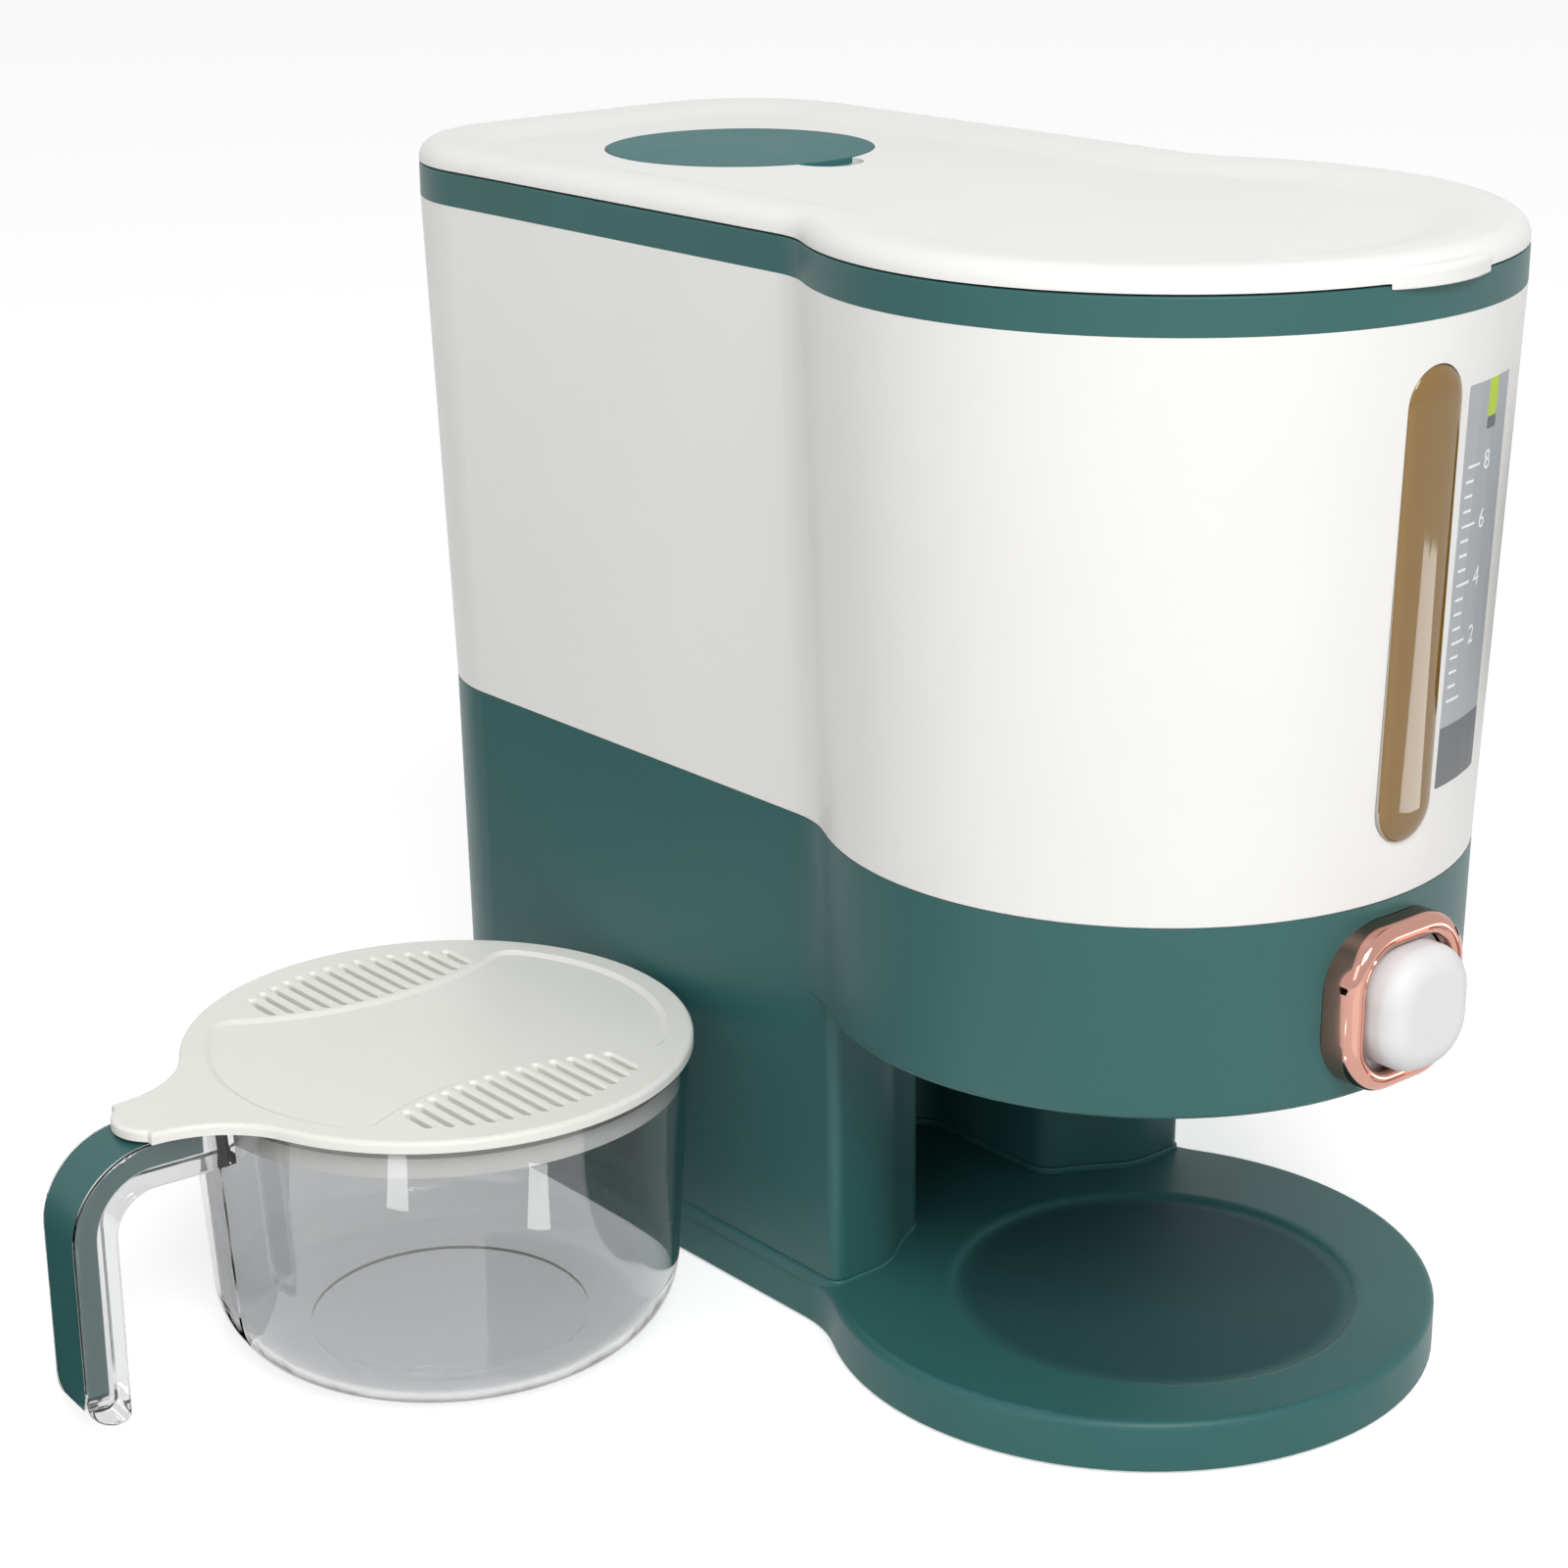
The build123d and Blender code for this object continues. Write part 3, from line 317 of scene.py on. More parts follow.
@dataclass(frozen=True)
class PlatedMetal:
    """Metal surface: a mirror-like plating or a bright zinc coat, with a faint waviness and fine scuffs."""

    name: str
    colour: str
    roughness: float
    wave: float
    wave_height: float
    wave_detail: float = 1.0
    wave_strength: float = 0.5
    scuff: float = 1.6
    scuff_detail: float = 4.0
    roughness_swing: float = 0.03

    def material(self) -> bpy.types.Material:
        """Build the material.

        Returns:
            The finished material.
        """
        material, tree = new_material(self.name)
        place = add_node(tree, "TexCoord").outputs["Object"]
        waves = {"Vector": place, "Scale": 1 / (self.wave * MM), "Detail": self.wave_detail}
        wave = add_node(tree, "TexNoise", waves)
        marks = {"Vector": place, "Scale": 1 / (self.scuff * MM), "Detail": self.scuff_detail}
        scuff = add_node(tree, "TexNoise", marks)
        bump = add_node(tree, "Bump", {
            "Height": wave.outputs["Fac"],
            "Strength": self.wave_strength,
            "Distance": self.wave_height * MM,
        })
        roughness = add_node(tree, "MapRange", {
            "Value": scuff.outputs["Fac"],
            "To Min": self.roughness - self.roughness_swing,
            "To Max": self.roughness + self.roughness_swing,
        })
        shader = add_node(tree, "BsdfPrincipled", {
            "Base Color": linear(self.colour),
            "Metallic": 1.0,
            "Roughness": roughness.outputs["Result"],
            "Normal": bump.outputs["Normal"],
        })
        add_node(tree, "OutputMaterial", {"Surface": shader.outputs["BSDF"]})
        return material


# Satin moulded ABS in dark teal: an even colour with a soft sheen that pales where it mirrors the light.
GREEN_ABS = MouldedPlastic("abs_satin_teal", "#305f5d", "#2d5b59", 0.40, gloss=0.3)
# The same ABS on the tray, where the floor of the cup seat is an eroded, duller round, darkened by painted
# shade for the shadow under the casing's overhang.
SEAT_ABS = PatchedPlastic(
    "abs_satin_teal_tray", "#326462", "#2f605e", 0.42, gloss=0.24, centre=(0.0, -0.0956, 0.0142)
)
# Matt moulded ABS of the cap: hardly any gloss, so it reads as one even teal disc.
CAP_ABS = MouldedPlastic("abs_matt_teal_cap", "#376b6b", "#346767", 0.5, gloss=0.1)
# Satin moulded ABS in warm white: a soft, even white with a faint sheen.
WHITE_ABS = MouldedPlastic("abs_satin_warm_white", "#e9e8e5", "#e5e4e1", 0.34, gloss=0.22)
# Fine matt ABS of the button: a cooler, greyer white without a hot spot.
BUTTON_ABS = MouldedPlastic("abs_fine_matt_white", "#dedede", "#dadada", 0.42)
# Moulded polypropylene in cream: slightly waxy, and yellower than the tank.
CREAM_PP = MouldedPlastic("polypropylene_cream", "#e6e5e0", "#e1e0da", 0.38)
# Undyed moulded polypropylene of the inner pieces: a dull, milky white.
NATURAL_PP = MouldedPlastic("polypropylene_natural", "#dddcd6", "#d6d5ce", 0.45)
# Moulded rubber of the pads: black, dull and coarse.
RUBBER = MouldedPlastic("rubber_black", "#1c1c1c", "#242424", 0.75, grain_height=0.03)
# Moulded silicone of the seal: a soft, dull greyish white.
SILICONE = MouldedPlastic("silicone_white", "#d9d9d5", "#d2d2cd", 0.6)
# Vinyl film: a flat light grey with a slight sheen.
LABEL_FILM = MouldedPlastic("vinyl_film_grey", "#a9adb1", "#a4a8ac", 0.35)
# Dark grey ink on the film: a flat block that is a little duller than the film.
LABEL_DARK = MouldedPlastic("vinyl_ink_dark_grey", "#66696d", "#626569", 0.38)
# Lime ink on the film: a small strong accent.
LABEL_LIME = MouldedPlastic("vinyl_ink_lime", "#b5cf2e", "#b1cb2b", 0.38)
# White ink of the ticks and numbers: crisp against the grey film.
LABEL_WHITE = MouldedPlastic("vinyl_ink_white", "#f0f0f0", "#ececec", 0.38)
# Polished styrene acrylonitrile: clear, with a grey tint that deepens where walls overlap.
CLEAR_SAN = ClearPlastic("san_clear_grey", "#d7d8d9", 1.0, 0.02)
# Cut edge of the window's polycarbonate: frosted, so that it reads as a pale rim.
EDGE_PC = ClearPlastic("polycarbonate_frosted_edge", "#c9c6c0", 0.35, 0.25)
# Polycarbonate in amber smoke: a brown that hides the inside, under a glossy skin.
AMBER_PC = ClearPlastic("polycarbonate_amber_smoke", "#8c6a2c", 0.2, 0.05)
# Rose-gold plating: a coppery pink mirror with a slight waviness.
ROSE_GOLD = PlatedMetal("plated_rose_gold", "#c59486", 0.07, wave=9.0, wave_height=0.02)
# Zinc-plated steel of screws and spring: a grey metal with a blurred shine.
ZINC_STEEL = PlatedMetal("zinc_plated_steel", "#a8a9ac", 0.28, wave=2.0, wave_height=0.01)

Finish = MouldedPlastic | ClearPlastic | PlatedMetal


def pick(piece: bpy.types.Object) -> None:
    """Select one piece alone and make it active.

    Args:
        piece: Object to select.
    """
    bpy.ops.object.select_all(action="DESELECT")
    piece.select_set(True)
    bpy.context.view_layer.objects.active = piece


@contextmanager
def editing(piece: bpy.types.Object) -> Iterator[None]:
    """Hold one piece in edit mode with nothing selected, and leave edit mode at the end.

    Args:
        piece: Mesh object to edit.

    Returns:
        Context in which edit-mode operators act on the piece alone.
    """
    pick(piece)
    bpy.ops.object.mode_set(mode="EDIT")
    bpy.ops.mesh.select_all(action="DESELECT")
    yield
    bpy.ops.object.mode_set(mode="OBJECT")


def select_faces_behind(piece: bpy.types.Object, y: float) -> None:
    """Select the faces of a piece in edit mode that lie behind a plane, and no others.

    Args:
        piece: Mesh object in edit mode.
        y: Place of the plane.
    """
    bpy.ops.mesh.select_mode(type="FACE")
    shape = bmesh.from_edit_mesh(piece.data)
    for face in shape.faces:
        face.select_set(face.calc_center_median().y > y)
    shape.select_flush_mode()
    bmesh.update_edit_mesh(piece.data)


def round_steps(inwards: float, outwards: float, count: int) -> list[tuple[float, float]]:
    """Divide a quarter round, from a side wall to a front, into steps.

    Args:
        inwards: How far the round goes inwards.
        outwards: How far it rises.
        count: Number of steps.

    Returns:
        The way inwards and the rise of each step.
    """
    turns = [math.pi / 2 * step / count for step in range(count + 1)]
    return [
        (inwards * (math.cos(now) - math.cos(then)), outwards * (math.sin(then) - math.sin(now)))
        for now, then in zip(turns, turns[1:])
    ]


def round_corners(radius: float, steps: int) -> None:
    """Round the corners of the flat outline in edit mode, and leave its face selected.

    Args:
        radius: Radius of the corners.
        steps: Number of edges on each corner.
    """
    bpy.ops.mesh.select_all(action="SELECT")
    bpy.ops.mesh.bevel(offset=radius, segments=steps, affect="VERTICES")
    bpy.ops.mesh.select_all(action="SELECT")
    bpy.ops.mesh.remove_doubles(threshold=MERGE)


def extrude(way: float) -> None:
    """Extrude the selected face along Y, which is backwards where the way is positive."""
    bpy.ops.mesh.extrude_region_move(TRANSFORM_OT_translate={"value": (0, way, 0)})


def inset(steps: list[tuple[float, float]]) -> None:
    """Shape the selected face by insets, each with its way inwards and its rise."""
    for way, rise in steps:
        bpy.ops.mesh.inset(thickness=way, depth=rise)


def new_piece(name: str, scale: tuple[float, float, float] = (1, 1, 1)) -> bpy.types.Object:
    """Name the primitive that was just added and put its place into its mesh.

    Args:
        name: Name of the piece.
        scale: Size to give a unit primitive along its own axes.

    Returns:
        The piece, at the origin, unturned and unscaled.
    """
    piece = bpy.context.object
    piece.name = name
    piece.data.name = name
    piece.scale = scale
    bpy.ops.object.transform_apply(location=True, rotation=True, scale=True)
    return piece


def upright_plane(name: str, width: float, height: float, middle: Vector = Vector()) -> bpy.types.Object:
    """Add a plane that stands upright and faces the front.

    Args:
        name: Name of the piece.
        width: Size along X.
        height: Size along Z.
        middle: Place of its middle.

    Returns:
        The plane, at the origin, unturned and unscaled.
    """
    bpy.ops.object.select_all(action="DESELECT")
    bpy.ops.mesh.primitive_plane_add(size=1, location=middle, rotation=(math.pi / 2, 0, 0))
    return new_piece(name, (width, height, 1))


def put(piece: bpy.types.Object, place: Vector, lean: float = 0.0) -> None:
    """Lean a piece about X, move it to its place and put both into its mesh.

    Args:
        piece: Mesh object to move.
        place: Where its origin goes.
        lean: Turn about X.
    """
    pick(piece)
    piece.location = place
    piece.rotation_euler = (lean, 0, 0)
    bpy.ops.object.transform_apply(location=True, rotation=True)


def apply_modifier(piece: bpy.types.Object, kind: str, **settings: Any) -> None:
    """Add a modifier to a piece and apply it.

    Args:
        piece: Mesh object to change.
        kind: Blender's name for the type of modifier.
        settings: Properties of the modifier.
    """
    pick(piece)
    modifier = piece.modifiers.new(kind.title(), kind)
    for key, value in settings.items():
        setattr(modifier, key, value)
    bpy.ops.object.modifier_apply(modifier=modifier.name)


def joined(pieces: list[bpy.types.Object], name: str) -> bpy.types.Object:
    """Join pieces into one object.

    Args:
        pieces: Objects to join.
        name: Name of the whole.

    Returns:
        The joined object.
    """
    bpy.ops.object.select_all(action="DESELECT")
    for piece in pieces:
        piece.select_set(True)
    bpy.context.view_layer.objects.active = pieces[0]
    bpy.ops.object.join()
    whole = bpy.context.object
    whole.name = name
    whole.data.name = name
    return whole


def dress(names: list[str], finish: Finish) -> None:
    """Give nodes of the frame a finish.

    Args:
        names: Names of the nodes.
        finish: Finish that they share.
    """
    material = finish.material()
    for name in names:
        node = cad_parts[name]
        node.data.materials.clear()
        node.data.materials.append(material)
        log.info("dressed %s in %s", name, finish.name)


def hand_over(piece: bpy.types.Object, body: Body, finish: Finish) -> None:
    """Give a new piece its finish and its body.

    Args:
        piece: Finished mesh object.
        body: Body that it rides on.
        finish: Finish of its surface.
    """
    piece.data.materials.clear()
    piece.data.materials.append(finish.material())
    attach(piece, body.value)
    log.info("built %s, %d faces, on %s", piece.name, len(piece.data.polygons), body.value)


@dataclass
class Casing:
    """Body of the dispenser: tray, lower casing, tank, trim band, hopper, shutter and fasteners."""

    def dress_nodes(self) -> None:
        """Give the body's nodes, and the shutter and screws inside it, their finishes."""
        dress(["lower_body", "rim_band", "outlet_spout"], GREEN_ABS)
        dress(["base_tray"], SEAT_ABS)
        dress(["tank"], WHITE_ABS)
        dress(["hopper", "gate_guide", "shutter_gate"], NATURAL_PP)
        dress(["foot_pads"], RUBBER)
        dress(["base_screws", "guide_screws", "button_screw"], ZINC_STEEL)


@dataclass
class TankLid:
    """Lid of the tank with its seal and the drying-agent box under a round cap."""

    def dress_nodes(self) -> None:
        """Give the lid's nodes their finishes."""
        dress(["lid", "desiccant_box"], WHITE_ABS)
        dress(["lid_seal"], SILICONE)
        dress(["desiccant_cap"], CAP_ABS)


@dataclass
class PushButton:
    """Push button in its plated bezel, with the return spring of the shutter behind it."""

    wire: float = 1.0 * MM
    coil_radius: float = 3.6 * MM
    turns: int = 7
    wire_sides: int = 14
    turn_steps: int = 40
    bezel_width: float = 47.0 * MM
    bezel_corner: float = 17.0 * MM
    corner_steps: int = 14
    shoulder: float = 3.2 * MM
    shoulder_steps: int = 8
    groove: float = 0.3 * MM
    groove_depth: float = 0.5 * MM
    rim: float = 1.9 * MM
    rim_drop: float = 1.5 * MM
    rim_steps: int = 5
    lip: float = 2.2 * MM
    flange_room: float = 2.0 * MM

    def dress_nodes(self) -> None:
        """Give the button its finish."""
        dress(["button_cap"], BUTTON_ABS)

    def bezel_profile(self) -> list[tuple[float, float]]:
        """List the steps of the bezel's front: a round shoulder, a fine groove and a round rim at the button.

        Returns:
            The way inwards and the rise of each step.
        """
        shoulder = round_steps(self.shoulder, self.shoulder, self.shoulder_steps)
        groove = [(self.groove, -self.groove_depth), (self.groove, 0.0), (self.groove, self.groove_depth)]
        rim = [(way, -rise) for way, rise in reversed(round_steps(self.rim, self.rim_drop, self.rim_steps))]
        return shoulder + groove + rim

    def build_bezel(self) -> None:
        """Model the plated bezel: a sleeve with a shaped front and room for the button's flange.

        The sleeve's two back faces go, and a ring between its outer and inner wall closes it.
        """
        low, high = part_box("button_bezel")
        depth = high.y - low.y
        height = high.z - low.z
        profile = self.bezel_profile()
        ways, rises = (sum(column) for column in zip(*profile))
        wide, tall = (1 + 2 * self.flange_room / (size - 2 * ways) for size in (self.bezel_width, height))
        bezel = upright_plane("plated_button_bezel", self.bezel_width, height)
        with editing(bezel):
            round_corners(self.bezel_corner, self.corner_steps)
            extrude(self.shoulder - depth)
            inset(profile)
            extrude(self.lip)
            extrude(0.0)
            bpy.ops.transform.resize(value=(wide, 1, tall), center_override=(0, 0, 0))
            extrude(depth - self.shoulder + rises - self.lip)
            select_faces_behind(bezel, -MERGE)
            bpy.ops.mesh.delete(type="FACE")
            bpy.ops.mesh.select_mode(type="EDGE")
            bpy.ops.mesh.select_non_manifold()
            bpy.ops.mesh.bridge_edge_loops()
            bpy.ops.mesh.select_all(action="SELECT")
            bpy.ops.mesh.normals_make_consistent(inside=False)
        put(bezel, Vector(((low.x + high.x) / 2, high.y, (low.z + high.z) / 2)))
        bpy.ops.object.shade_smooth_by_angle(angle=SMOOTH_ANGLE)
        hand_over(bezel, Body.HOUSING, ROSE_GOLD)
        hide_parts("button_bezel")

    def build_spring(self) -> None:
        """Wind the return spring from a ring."""
        low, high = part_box("return_spring")
        length = high.y - low.y - self.wire
        bpy.ops.object.select_all(action="DESELECT")
        bpy.ops.mesh.primitive_circle_add(
            vertices=self.wire_sides,
            radius=self.wire / 2,
            location=(self.coil_radius, 0, 0),
            fill_type="NGON",
        )
        spring = new_piece("coil_return_spring")
        apply_modifier(
            spring, "SCREW", axis="Y", screw_offset=length / self.turns, iterations=self.turns,
            steps=self.turn_steps, render_steps=self.turn_steps, use_smooth_shade=True,
        )
        with editing(spring):
            bpy.ops.mesh.select_all(action="SELECT")
            bpy.ops.mesh.remove_doubles(threshold=MERGE)
            bpy.ops.mesh.fill_holes(sides=0)
            bpy.ops.mesh.normals_make_consistent(inside=False)
        put(spring, Vector((0, low.y + self.wire / 2, (low.z + high.z) / 2)))
        hand_over(spring, Body.HOUSING, ZINC_STEEL)
        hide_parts("return_spring")
        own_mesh(spring)


@dataclass
class SightWindow:
    """Amber window in the tank's front and the printed level scale beside it."""

    flange: float = 3.0 * MM
    side: float = 6.0 * MM
    crown: float = 2.4 * MM
    shoulder: float = 9.6 * MM
    shoulder_steps: int = 10
    end_steps: int = 16
    lean: float = math.radians(1.4)
    proud: float = 0.2 * MM
    edge_slope: float = 0.3
    label_left: float = 14.6 * MM
    label_right: float = 39.5 * MM
    label_low: float = 192.0 * MM
    label_high: float = 303.0 * MM
    corner: float = 0.6 * MM
    corner_steps: int = 4
    corner_limit_share: float = 1 / 3
    film: float = 0.08 * MM
    ink: float = 0.03 * MM
    strip_width: float = 2.0 * MM
    foot_share: float = 0.155
    bar_left_share: float = 0.45
    bar_right_share: float = 0.67
    bar_share: float = 0.092
    square_share: float = 0.03
    scale_low_share: float = 0.22
    scale_high_share: float = 0.80
    scale_steps: int = 16
    steps_per_number: int = 4
    number_step: int = 2
    tick_left: float = 16.5 * MM
    tick_short: float = 4.0 * MM
    tick_long: float = 7.0 * MM
    tick_height: float = 0.7 * MM
    number_left: float = 26.0 * MM
    number_size: float = 7.5 * MM

    def build_cover(self) -> None:
        """Model the window's cover: steeper than the tank, with round ends and broad soft shoulders."""
        low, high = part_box("window_lens")
        middle = (low + high) / 2
        width = high.x - low.x - 2 * self.flange
        height = high.z - low.z - 2 * self.flange
        cover = upright_plane("sight_window_cover", width, height)
        with editing(cover):
            round_corners(width / 2, self.end_steps)
            extrude(-self.side)
            inset(round_steps(self.shoulder, self.crown, self.shoulder_steps))
            bpy.ops.mesh.select_all(action="SELECT")
            bpy.ops.mesh.normals_make_consistent(inside=False)
        slide = height / 2 * math.sin(self.lean)
        back = low.y - self.proud + slide + self.side + self.crown
        put(cover, Vector((middle.x, back, middle.z)), self.lean)
        bpy.ops.object.shade_smooth_by_angle(angle=SMOOTH_ANGLE)
        hand_over(cover, Body.HOUSING, AMBER_PC)
        cover.data.materials.append(EDGE_PC.material())
        for face in cover.data.polygons:
            face.material_index = int(abs(face.normal.y) < self.edge_slope)
        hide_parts("window_lens")

    def wrapped(self, piece: bpy.types.Object, lift: float, thickness: float) -> bpy.types.Object:
        """Lay a flat upright piece onto the tank's round front and give it its thickness.

        Args:
            piece: Flat mesh in front of the tank.
            lift: Height of its back over the tank's skin.
            thickness: Thickness outwards from there.

        Returns:
            The same piece.
        """
        apply_modifier(
            piece, "SHRINKWRAP", target=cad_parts["tank"], wrap_method="PROJECT", wrap_mode="ON_SURFACE",
            use_project_y=True, use_positive_direction=True, offset=lift + thickness,
        )
        apply_modifier(piece, "SOLIDIFY", thickness=thickness, offset=-1)
        return piece

    def plate(self, name: str, left: float, right: float, low: float, high: float) -> bpy.types.Object:
        """Cut a flat plate with rounded corners, in upright strips that can follow a curve.

        Args:
            name: Name of the piece.
            left: Least x.
            right: Greatest x.
            low: Least z.
            high: Greatest z.

        Returns:
            The plate, standing in front of the tank.
        """
        middle = Vector(((left + right) / 2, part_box("tank")[0].y - self.label_right, (low + high) / 2))
        piece = upright_plane(name, right - left, high - low, middle)
        with editing(piece):
            round_corners(min(self.corner, (high - low) * self.corner_limit_share), self.corner_steps)
            strips = max(1, round((right - left) / self.strip_width))
            for strip in range(1, strips):
                x = left + (right - left) * strip / strips
                bpy.ops.mesh.select_all(action="SELECT")
                bpy.ops.mesh.bisect(plane_co=(x, 0, 0), plane_no=(1, 0, 0))
        return piece

    def build_label(self) -> None:
        """Make the printed film with its foot block, lime bar and dark square."""
        height = self.label_high - self.label_low
        width = self.label_right - self.label_left
        film = self.plate("level_film", self.label_left, self.label_right, self.label_low, self.label_high)
        hand_over(self.wrapped(film, 0, self.film), Body.HOUSING, LABEL_FILM)
        foot_top = self.label_low + height * self.foot_share
        foot = self.plate("level_film_foot", self.label_left, self.label_right, self.label_low, foot_top)
        hand_over(self.wrapped(foot, self.film, self.ink), Body.HOUSING, LABEL_DARK)
        bar_left = self.label_left + width * self.bar_left_share
        bar_right = self.label_left + width * self.bar_right_share
        bar_low = self.label_high - height * self.bar_share
        bar = self.plate("level_film_bar", bar_left, bar_right, bar_low, self.label_high)
        hand_over(self.wrapped(bar, self.film, self.ink), Body.HOUSING, LABEL_LIME)
        square_low = bar_low - height * self.square_share
        square = self.plate("level_film_square", bar_left, bar_right, square_low, bar_low)
        hand_over(self.wrapped(square, self.film, self.ink), Body.HOUSING, LABEL_DARK)

    def build_scale(self) -> None:
        """Print the level scale: a column of ticks with plain numbers at the long ones."""
        height = self.label_high - self.label_low
        marks = []
        for step in range(self.scale_steps + 1):
            share = step / self.scale_steps
            span = self.scale_high_share - self.scale_low_share
            z = self.label_low + height * (self.scale_low_share + span * share)
            long_one = step % self.steps_per_number == 0
            reach = self.tick_long if long_one else self.tick_short
            half = self.tick_height / 2
            mark = self.plate("level_tick", self.tick_left, self.tick_left + reach, z - half, z + half)
            marks.append(self.wrapped(mark, self.film, self.ink))
            if long_one and step:
                number = self.number(str(step // self.steps_per_number * self.number_step), z)
                marks.append(self.wrapped(number, self.film, self.ink))
        hand_over(joined(marks, "level_scale"), Body.HOUSING, LABEL_WHITE)

    def number(self, text: str, z: float) -> bpy.types.Object:
        """Write a plain number in front of the film.

        Args:
            text: Number to write.
            z: Height of its middle.

        Returns:
            The number as a flat upright mesh.
        """
        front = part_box("tank")[0].y - self.label_right
        bpy.ops.object.select_all(action="DESELECT")
        bpy.ops.object.text_add(location=(self.number_left, front, z), rotation=(math.pi / 2, 0, 0))
        writing = bpy.context.object
        writing.data.body = text
        writing.data.size = self.number_size
        writing.data.align_y = "CENTER"
        bpy.ops.object.convert(target="MESH")
        piece = new_piece("level_number")
        with editing(piece):
            bpy.ops.mesh.select_all(action="SELECT")
            bpy.ops.mesh.remove_doubles(threshold=MERGE)
        return piece


@dataclass
class MeasuringCup:
    """Clear measuring cup with a coloured strip in its handle and a straining lid."""

    def dress_nodes(self) -> None:
        """Give the cup's nodes their finishes."""
        dress(["cup"], CLEAR_SAN)
        dress(["handle_insert"], GREEN_ABS)
        dress(["cup_lid"], CREAM_PP)


@dataclass(frozen=True)
class Lamp:
    """Square lamp that faces the middle of the object, with its power in watts."""

    name: str
    place: tuple[float, float, float]
    power: float
    size: float

    def hang(self) -> None:
        """Hang the lamp."""
        bpy.ops.object.select_all(action="DESELECT")
        bpy.ops.object.light_add(type="AREA", location=self.place)
        lamp = bpy.context.object
        lamp.name = self.name
        lamp.data.energy = self.power
        lamp.data.size = self.size
        middle = (cad_bounds[0] + cad_bounds[1]) / 2
        lamp.rotation_euler = (middle - Vector(self.place)).to_track_quat("-Z", "Y").to_euler()


@dataclass(frozen=True)
class Card:
    """Card on the floor that only mirrors in shiny surfaces; a glow of 0 makes a black flag."""

    name: str
    place: tuple[float, float]
    size: tuple[float, float]
    turn: float
    glow: float
    lift: float = 1.0 * MM

    def lay(self) -> None:
        """Lay the card on the floor."""
        bpy.ops.object.select_all(action="DESELECT")
        turn = (0, 0, math.radians(self.turn))
        bpy.ops.mesh.primitive_plane_add(size=1, location=(*self.place, self.lift), rotation=turn)
        card = new_piece(self.name, (*self.size, 1))
        material, tree = new_material(self.name)
        shader = add_node(tree, "Emission", {"Strength": self.glow})
        add_node(tree, "OutputMaterial", {"Surface": shader.outputs[0]})
        card.data.materials.append(material)
        card.visible_camera = False
        card.visible_diffuse = False
        card.visible_shadow = False
        card.visible_transmission = False


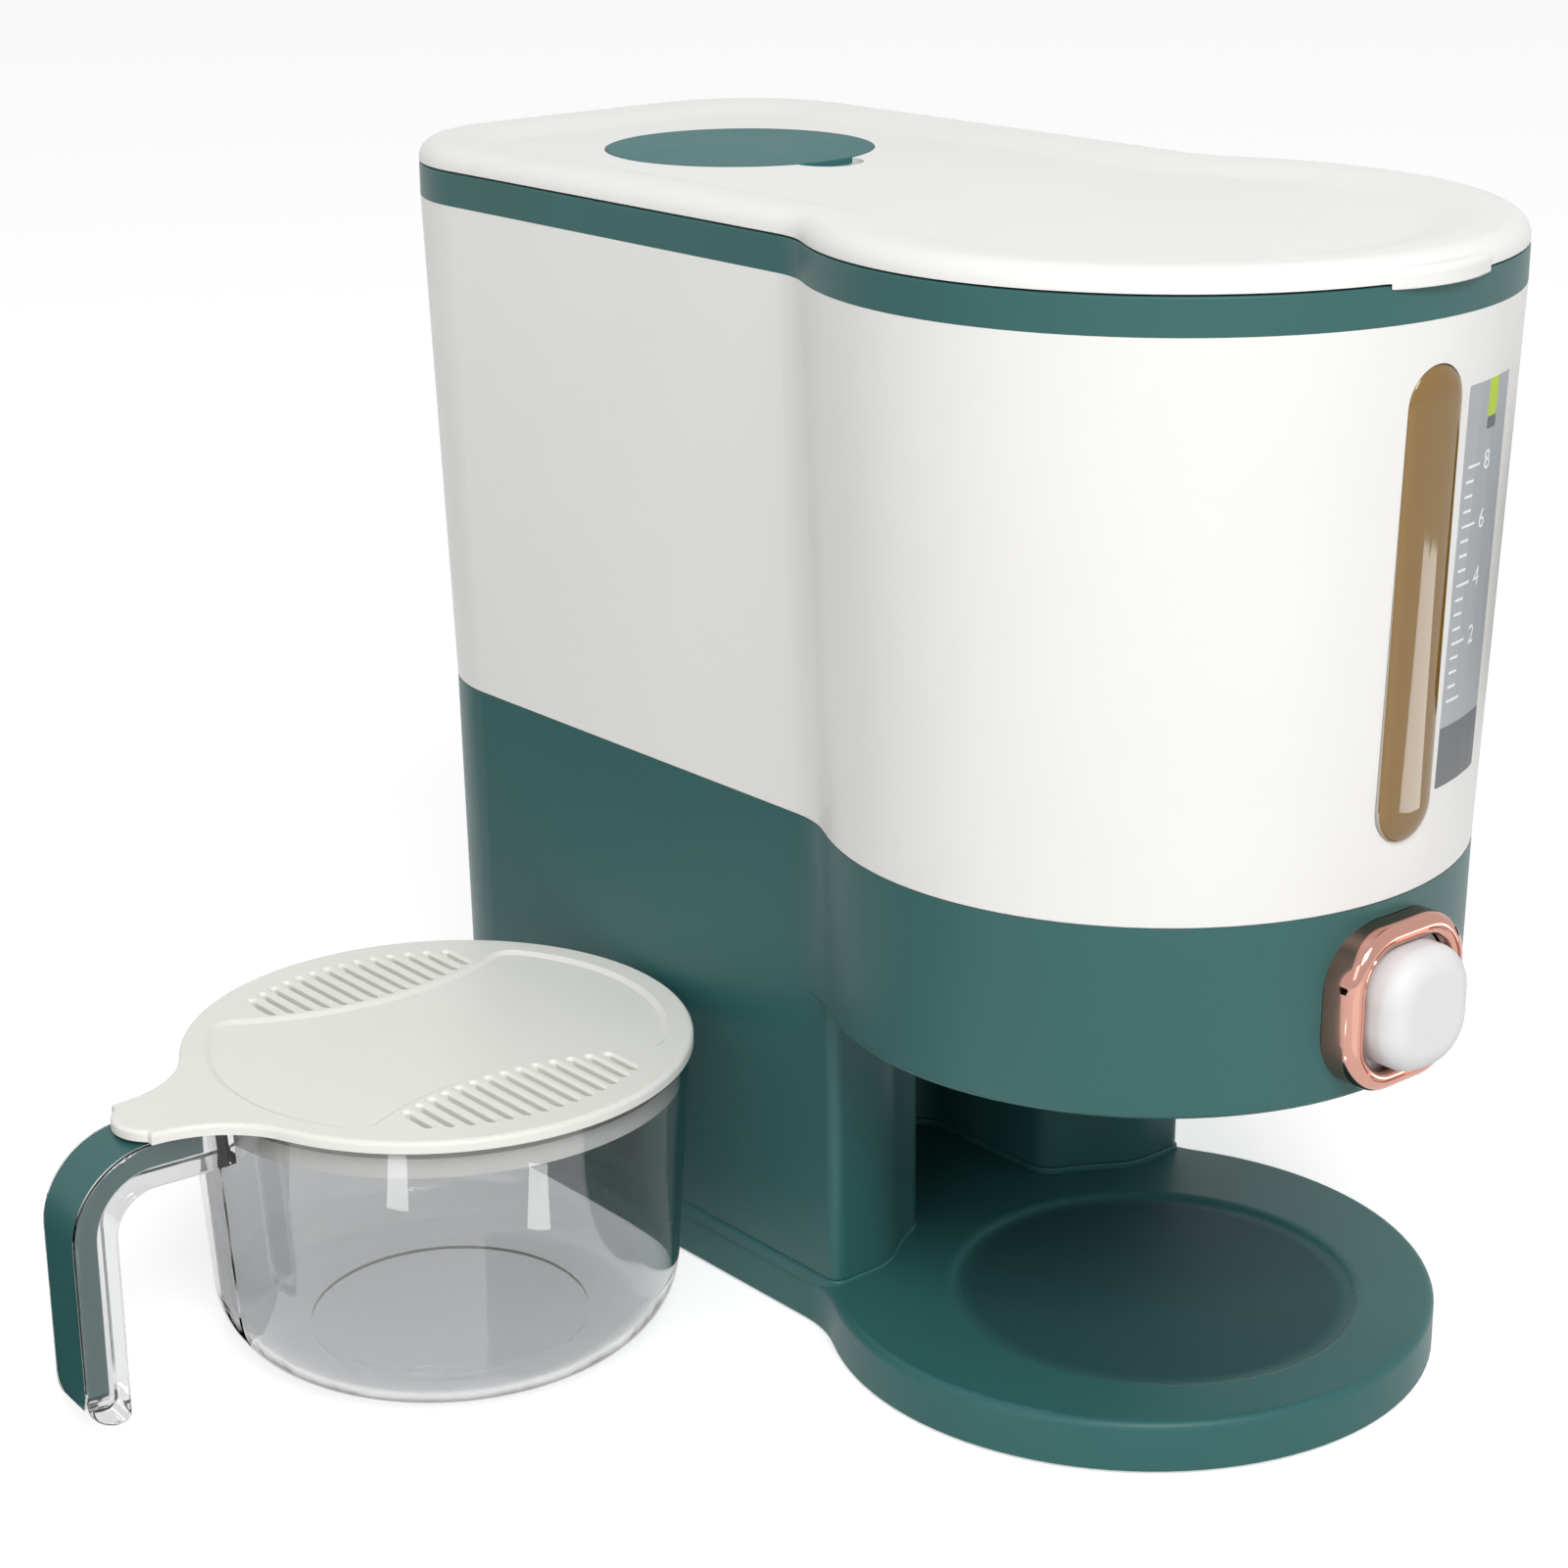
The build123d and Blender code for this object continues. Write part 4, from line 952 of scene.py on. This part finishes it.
@dataclass
class Studio:
    """Pale floor, soft lamps, cards for the reflections and the camera."""

    floor_size: float = 16.0
    floor_drop: float = 0.4 * MM
    floor_glow: float = 0.55
    floor_colour: str = "#d8d8d8"
    sky: float = 0.55
    sky_colour: str = "#ffffff"
    lamps: tuple[Lamp, ...] = (
        Lamp("key", place=(-0.86, -1.52, 1.70), power=32.5, size=0.9),
        Lamp("fill", place=(-1.70, -0.85, 0.95), power=4.0, size=0.9),
    )
    cards: tuple[Card, ...] = (
        Card("flag_left", place=(-0.62, 0.62), size=(0.8, 1.1), turn=0.0, glow=0.0),
        Card("flag_right", place=(0.95, 0.05), size=(0.6, 0.8), turn=0.0, glow=0.0),
        Card("card_window", place=(0.53, -0.60), size=(0.44, 0.19), turn=-38.0, glow=4.8),
        Card("card_front", place=(-0.14, -0.95), size=(0.4, 1.1), turn=0.0, glow=1.6),
        Card("card_cup_left", place=(-0.3095, -0.0725), size=(0.034, 0.026), turn=42.0, glow=6.5),
        Card("card_cup_right", place=(-0.1505, -0.128), size=(0.026, 0.039), turn=10.0, glow=6.5),
    )
    lens: float = 75.03
    sensor: float = 36.0
    eye: Vector = Vector((-0.6545, -0.7029, 0.4816))
    right: Vector = Vector((0.76387, -0.64533, -0.00776))
    up: Vector = Vector((0.21583, 0.24411, 0.94542))
    back: Vector = Vector((-0.60821, -0.72385, 0.32575))

    def build_floor(self) -> None:
        """Lay a wide pale floor that keeps a soft shadow."""
        bpy.ops.object.select_all(action="DESELECT")
        bpy.ops.mesh.primitive_plane_add(size=self.floor_size, location=(0, 0, -self.floor_drop))
        floor = new_piece("studio_floor")
        material, tree = new_material("studio_paper_white")
        diffuse = add_node(tree, "BsdfDiffuse", {"Color": linear(self.floor_colour)})
        level = add_node(tree, "Math", {0: background_seen(tree), 1: self.floor_glow}, operation="MULTIPLY")
        glow = add_node(tree, "Emission", {"Strength": level.outputs[0]})
        both = add_node(tree, "AddShader", {0: diffuse.outputs[0], 1: glow.outputs[0]})
        add_node(tree, "OutputMaterial", {"Surface": both.outputs[0]})
        floor.data.materials.append(material)

    def build_sky(self) -> None:
        """Set a sky that shows white and gives a little less light."""
        world = bpy.data.worlds.new("studio_sky")
        bpy.context.scene.world = world
        world.use_nodes = True
        tree = world.node_tree
        tree.nodes.clear()
        shares = {"Value": background_seen(tree), "To Min": self.sky, "To Max": 1.0}
        level = add_node(tree, "MapRange", shares)
        light = {"Color": linear(self.sky_colour), "Strength": level.outputs["Result"]}
        sky = add_node(tree, "Background", light)
        add_node(tree, "OutputWorld", {"Surface": sky.outputs[0]})

    def build_light(self) -> None:
        """Hang the soft lamps and lay the cards that shape the reflections."""
        for lamp in self.lamps:
            lamp.hang()
        for card in self.cards:
            card.lay()

    def build_camera(self) -> None:
        """Set the camera where the photograph was taken from."""
        data = bpy.data.cameras.new("product_camera")
        data.lens = self.lens
        data.sensor_width = self.sensor
        camera = bpy.data.objects.new("product_camera", data)
        bpy.context.scene.collection.objects.link(camera)
        turn = Matrix((self.right, self.up, self.back)).transposed().to_4x4()
        camera.matrix_world = Matrix.Translation(self.eye) @ turn
        bpy.context.scene.camera = camera


def main() -> None:
    """Build and dress the sub-assemblies in order, then the studio around them."""
    logging.basicConfig(level=logging.INFO, format="%(name)s: %(message)s")
    bpy.context.scene.view_settings.view_transform = "Standard"
    Casing().dress_nodes()
    TankLid().dress_nodes()
    button = PushButton()
    button.dress_nodes()
    button.build_bezel()
    button.build_spring()
    window = SightWindow()
    window.build_cover()
    window.build_label()
    window.build_scale()
    MeasuringCup().dress_nodes()
    studio = Studio()
    studio.build_floor()
    studio.build_sky()
    studio.build_light()
    studio.build_camera()


if __name__ == "__main__":
    main()
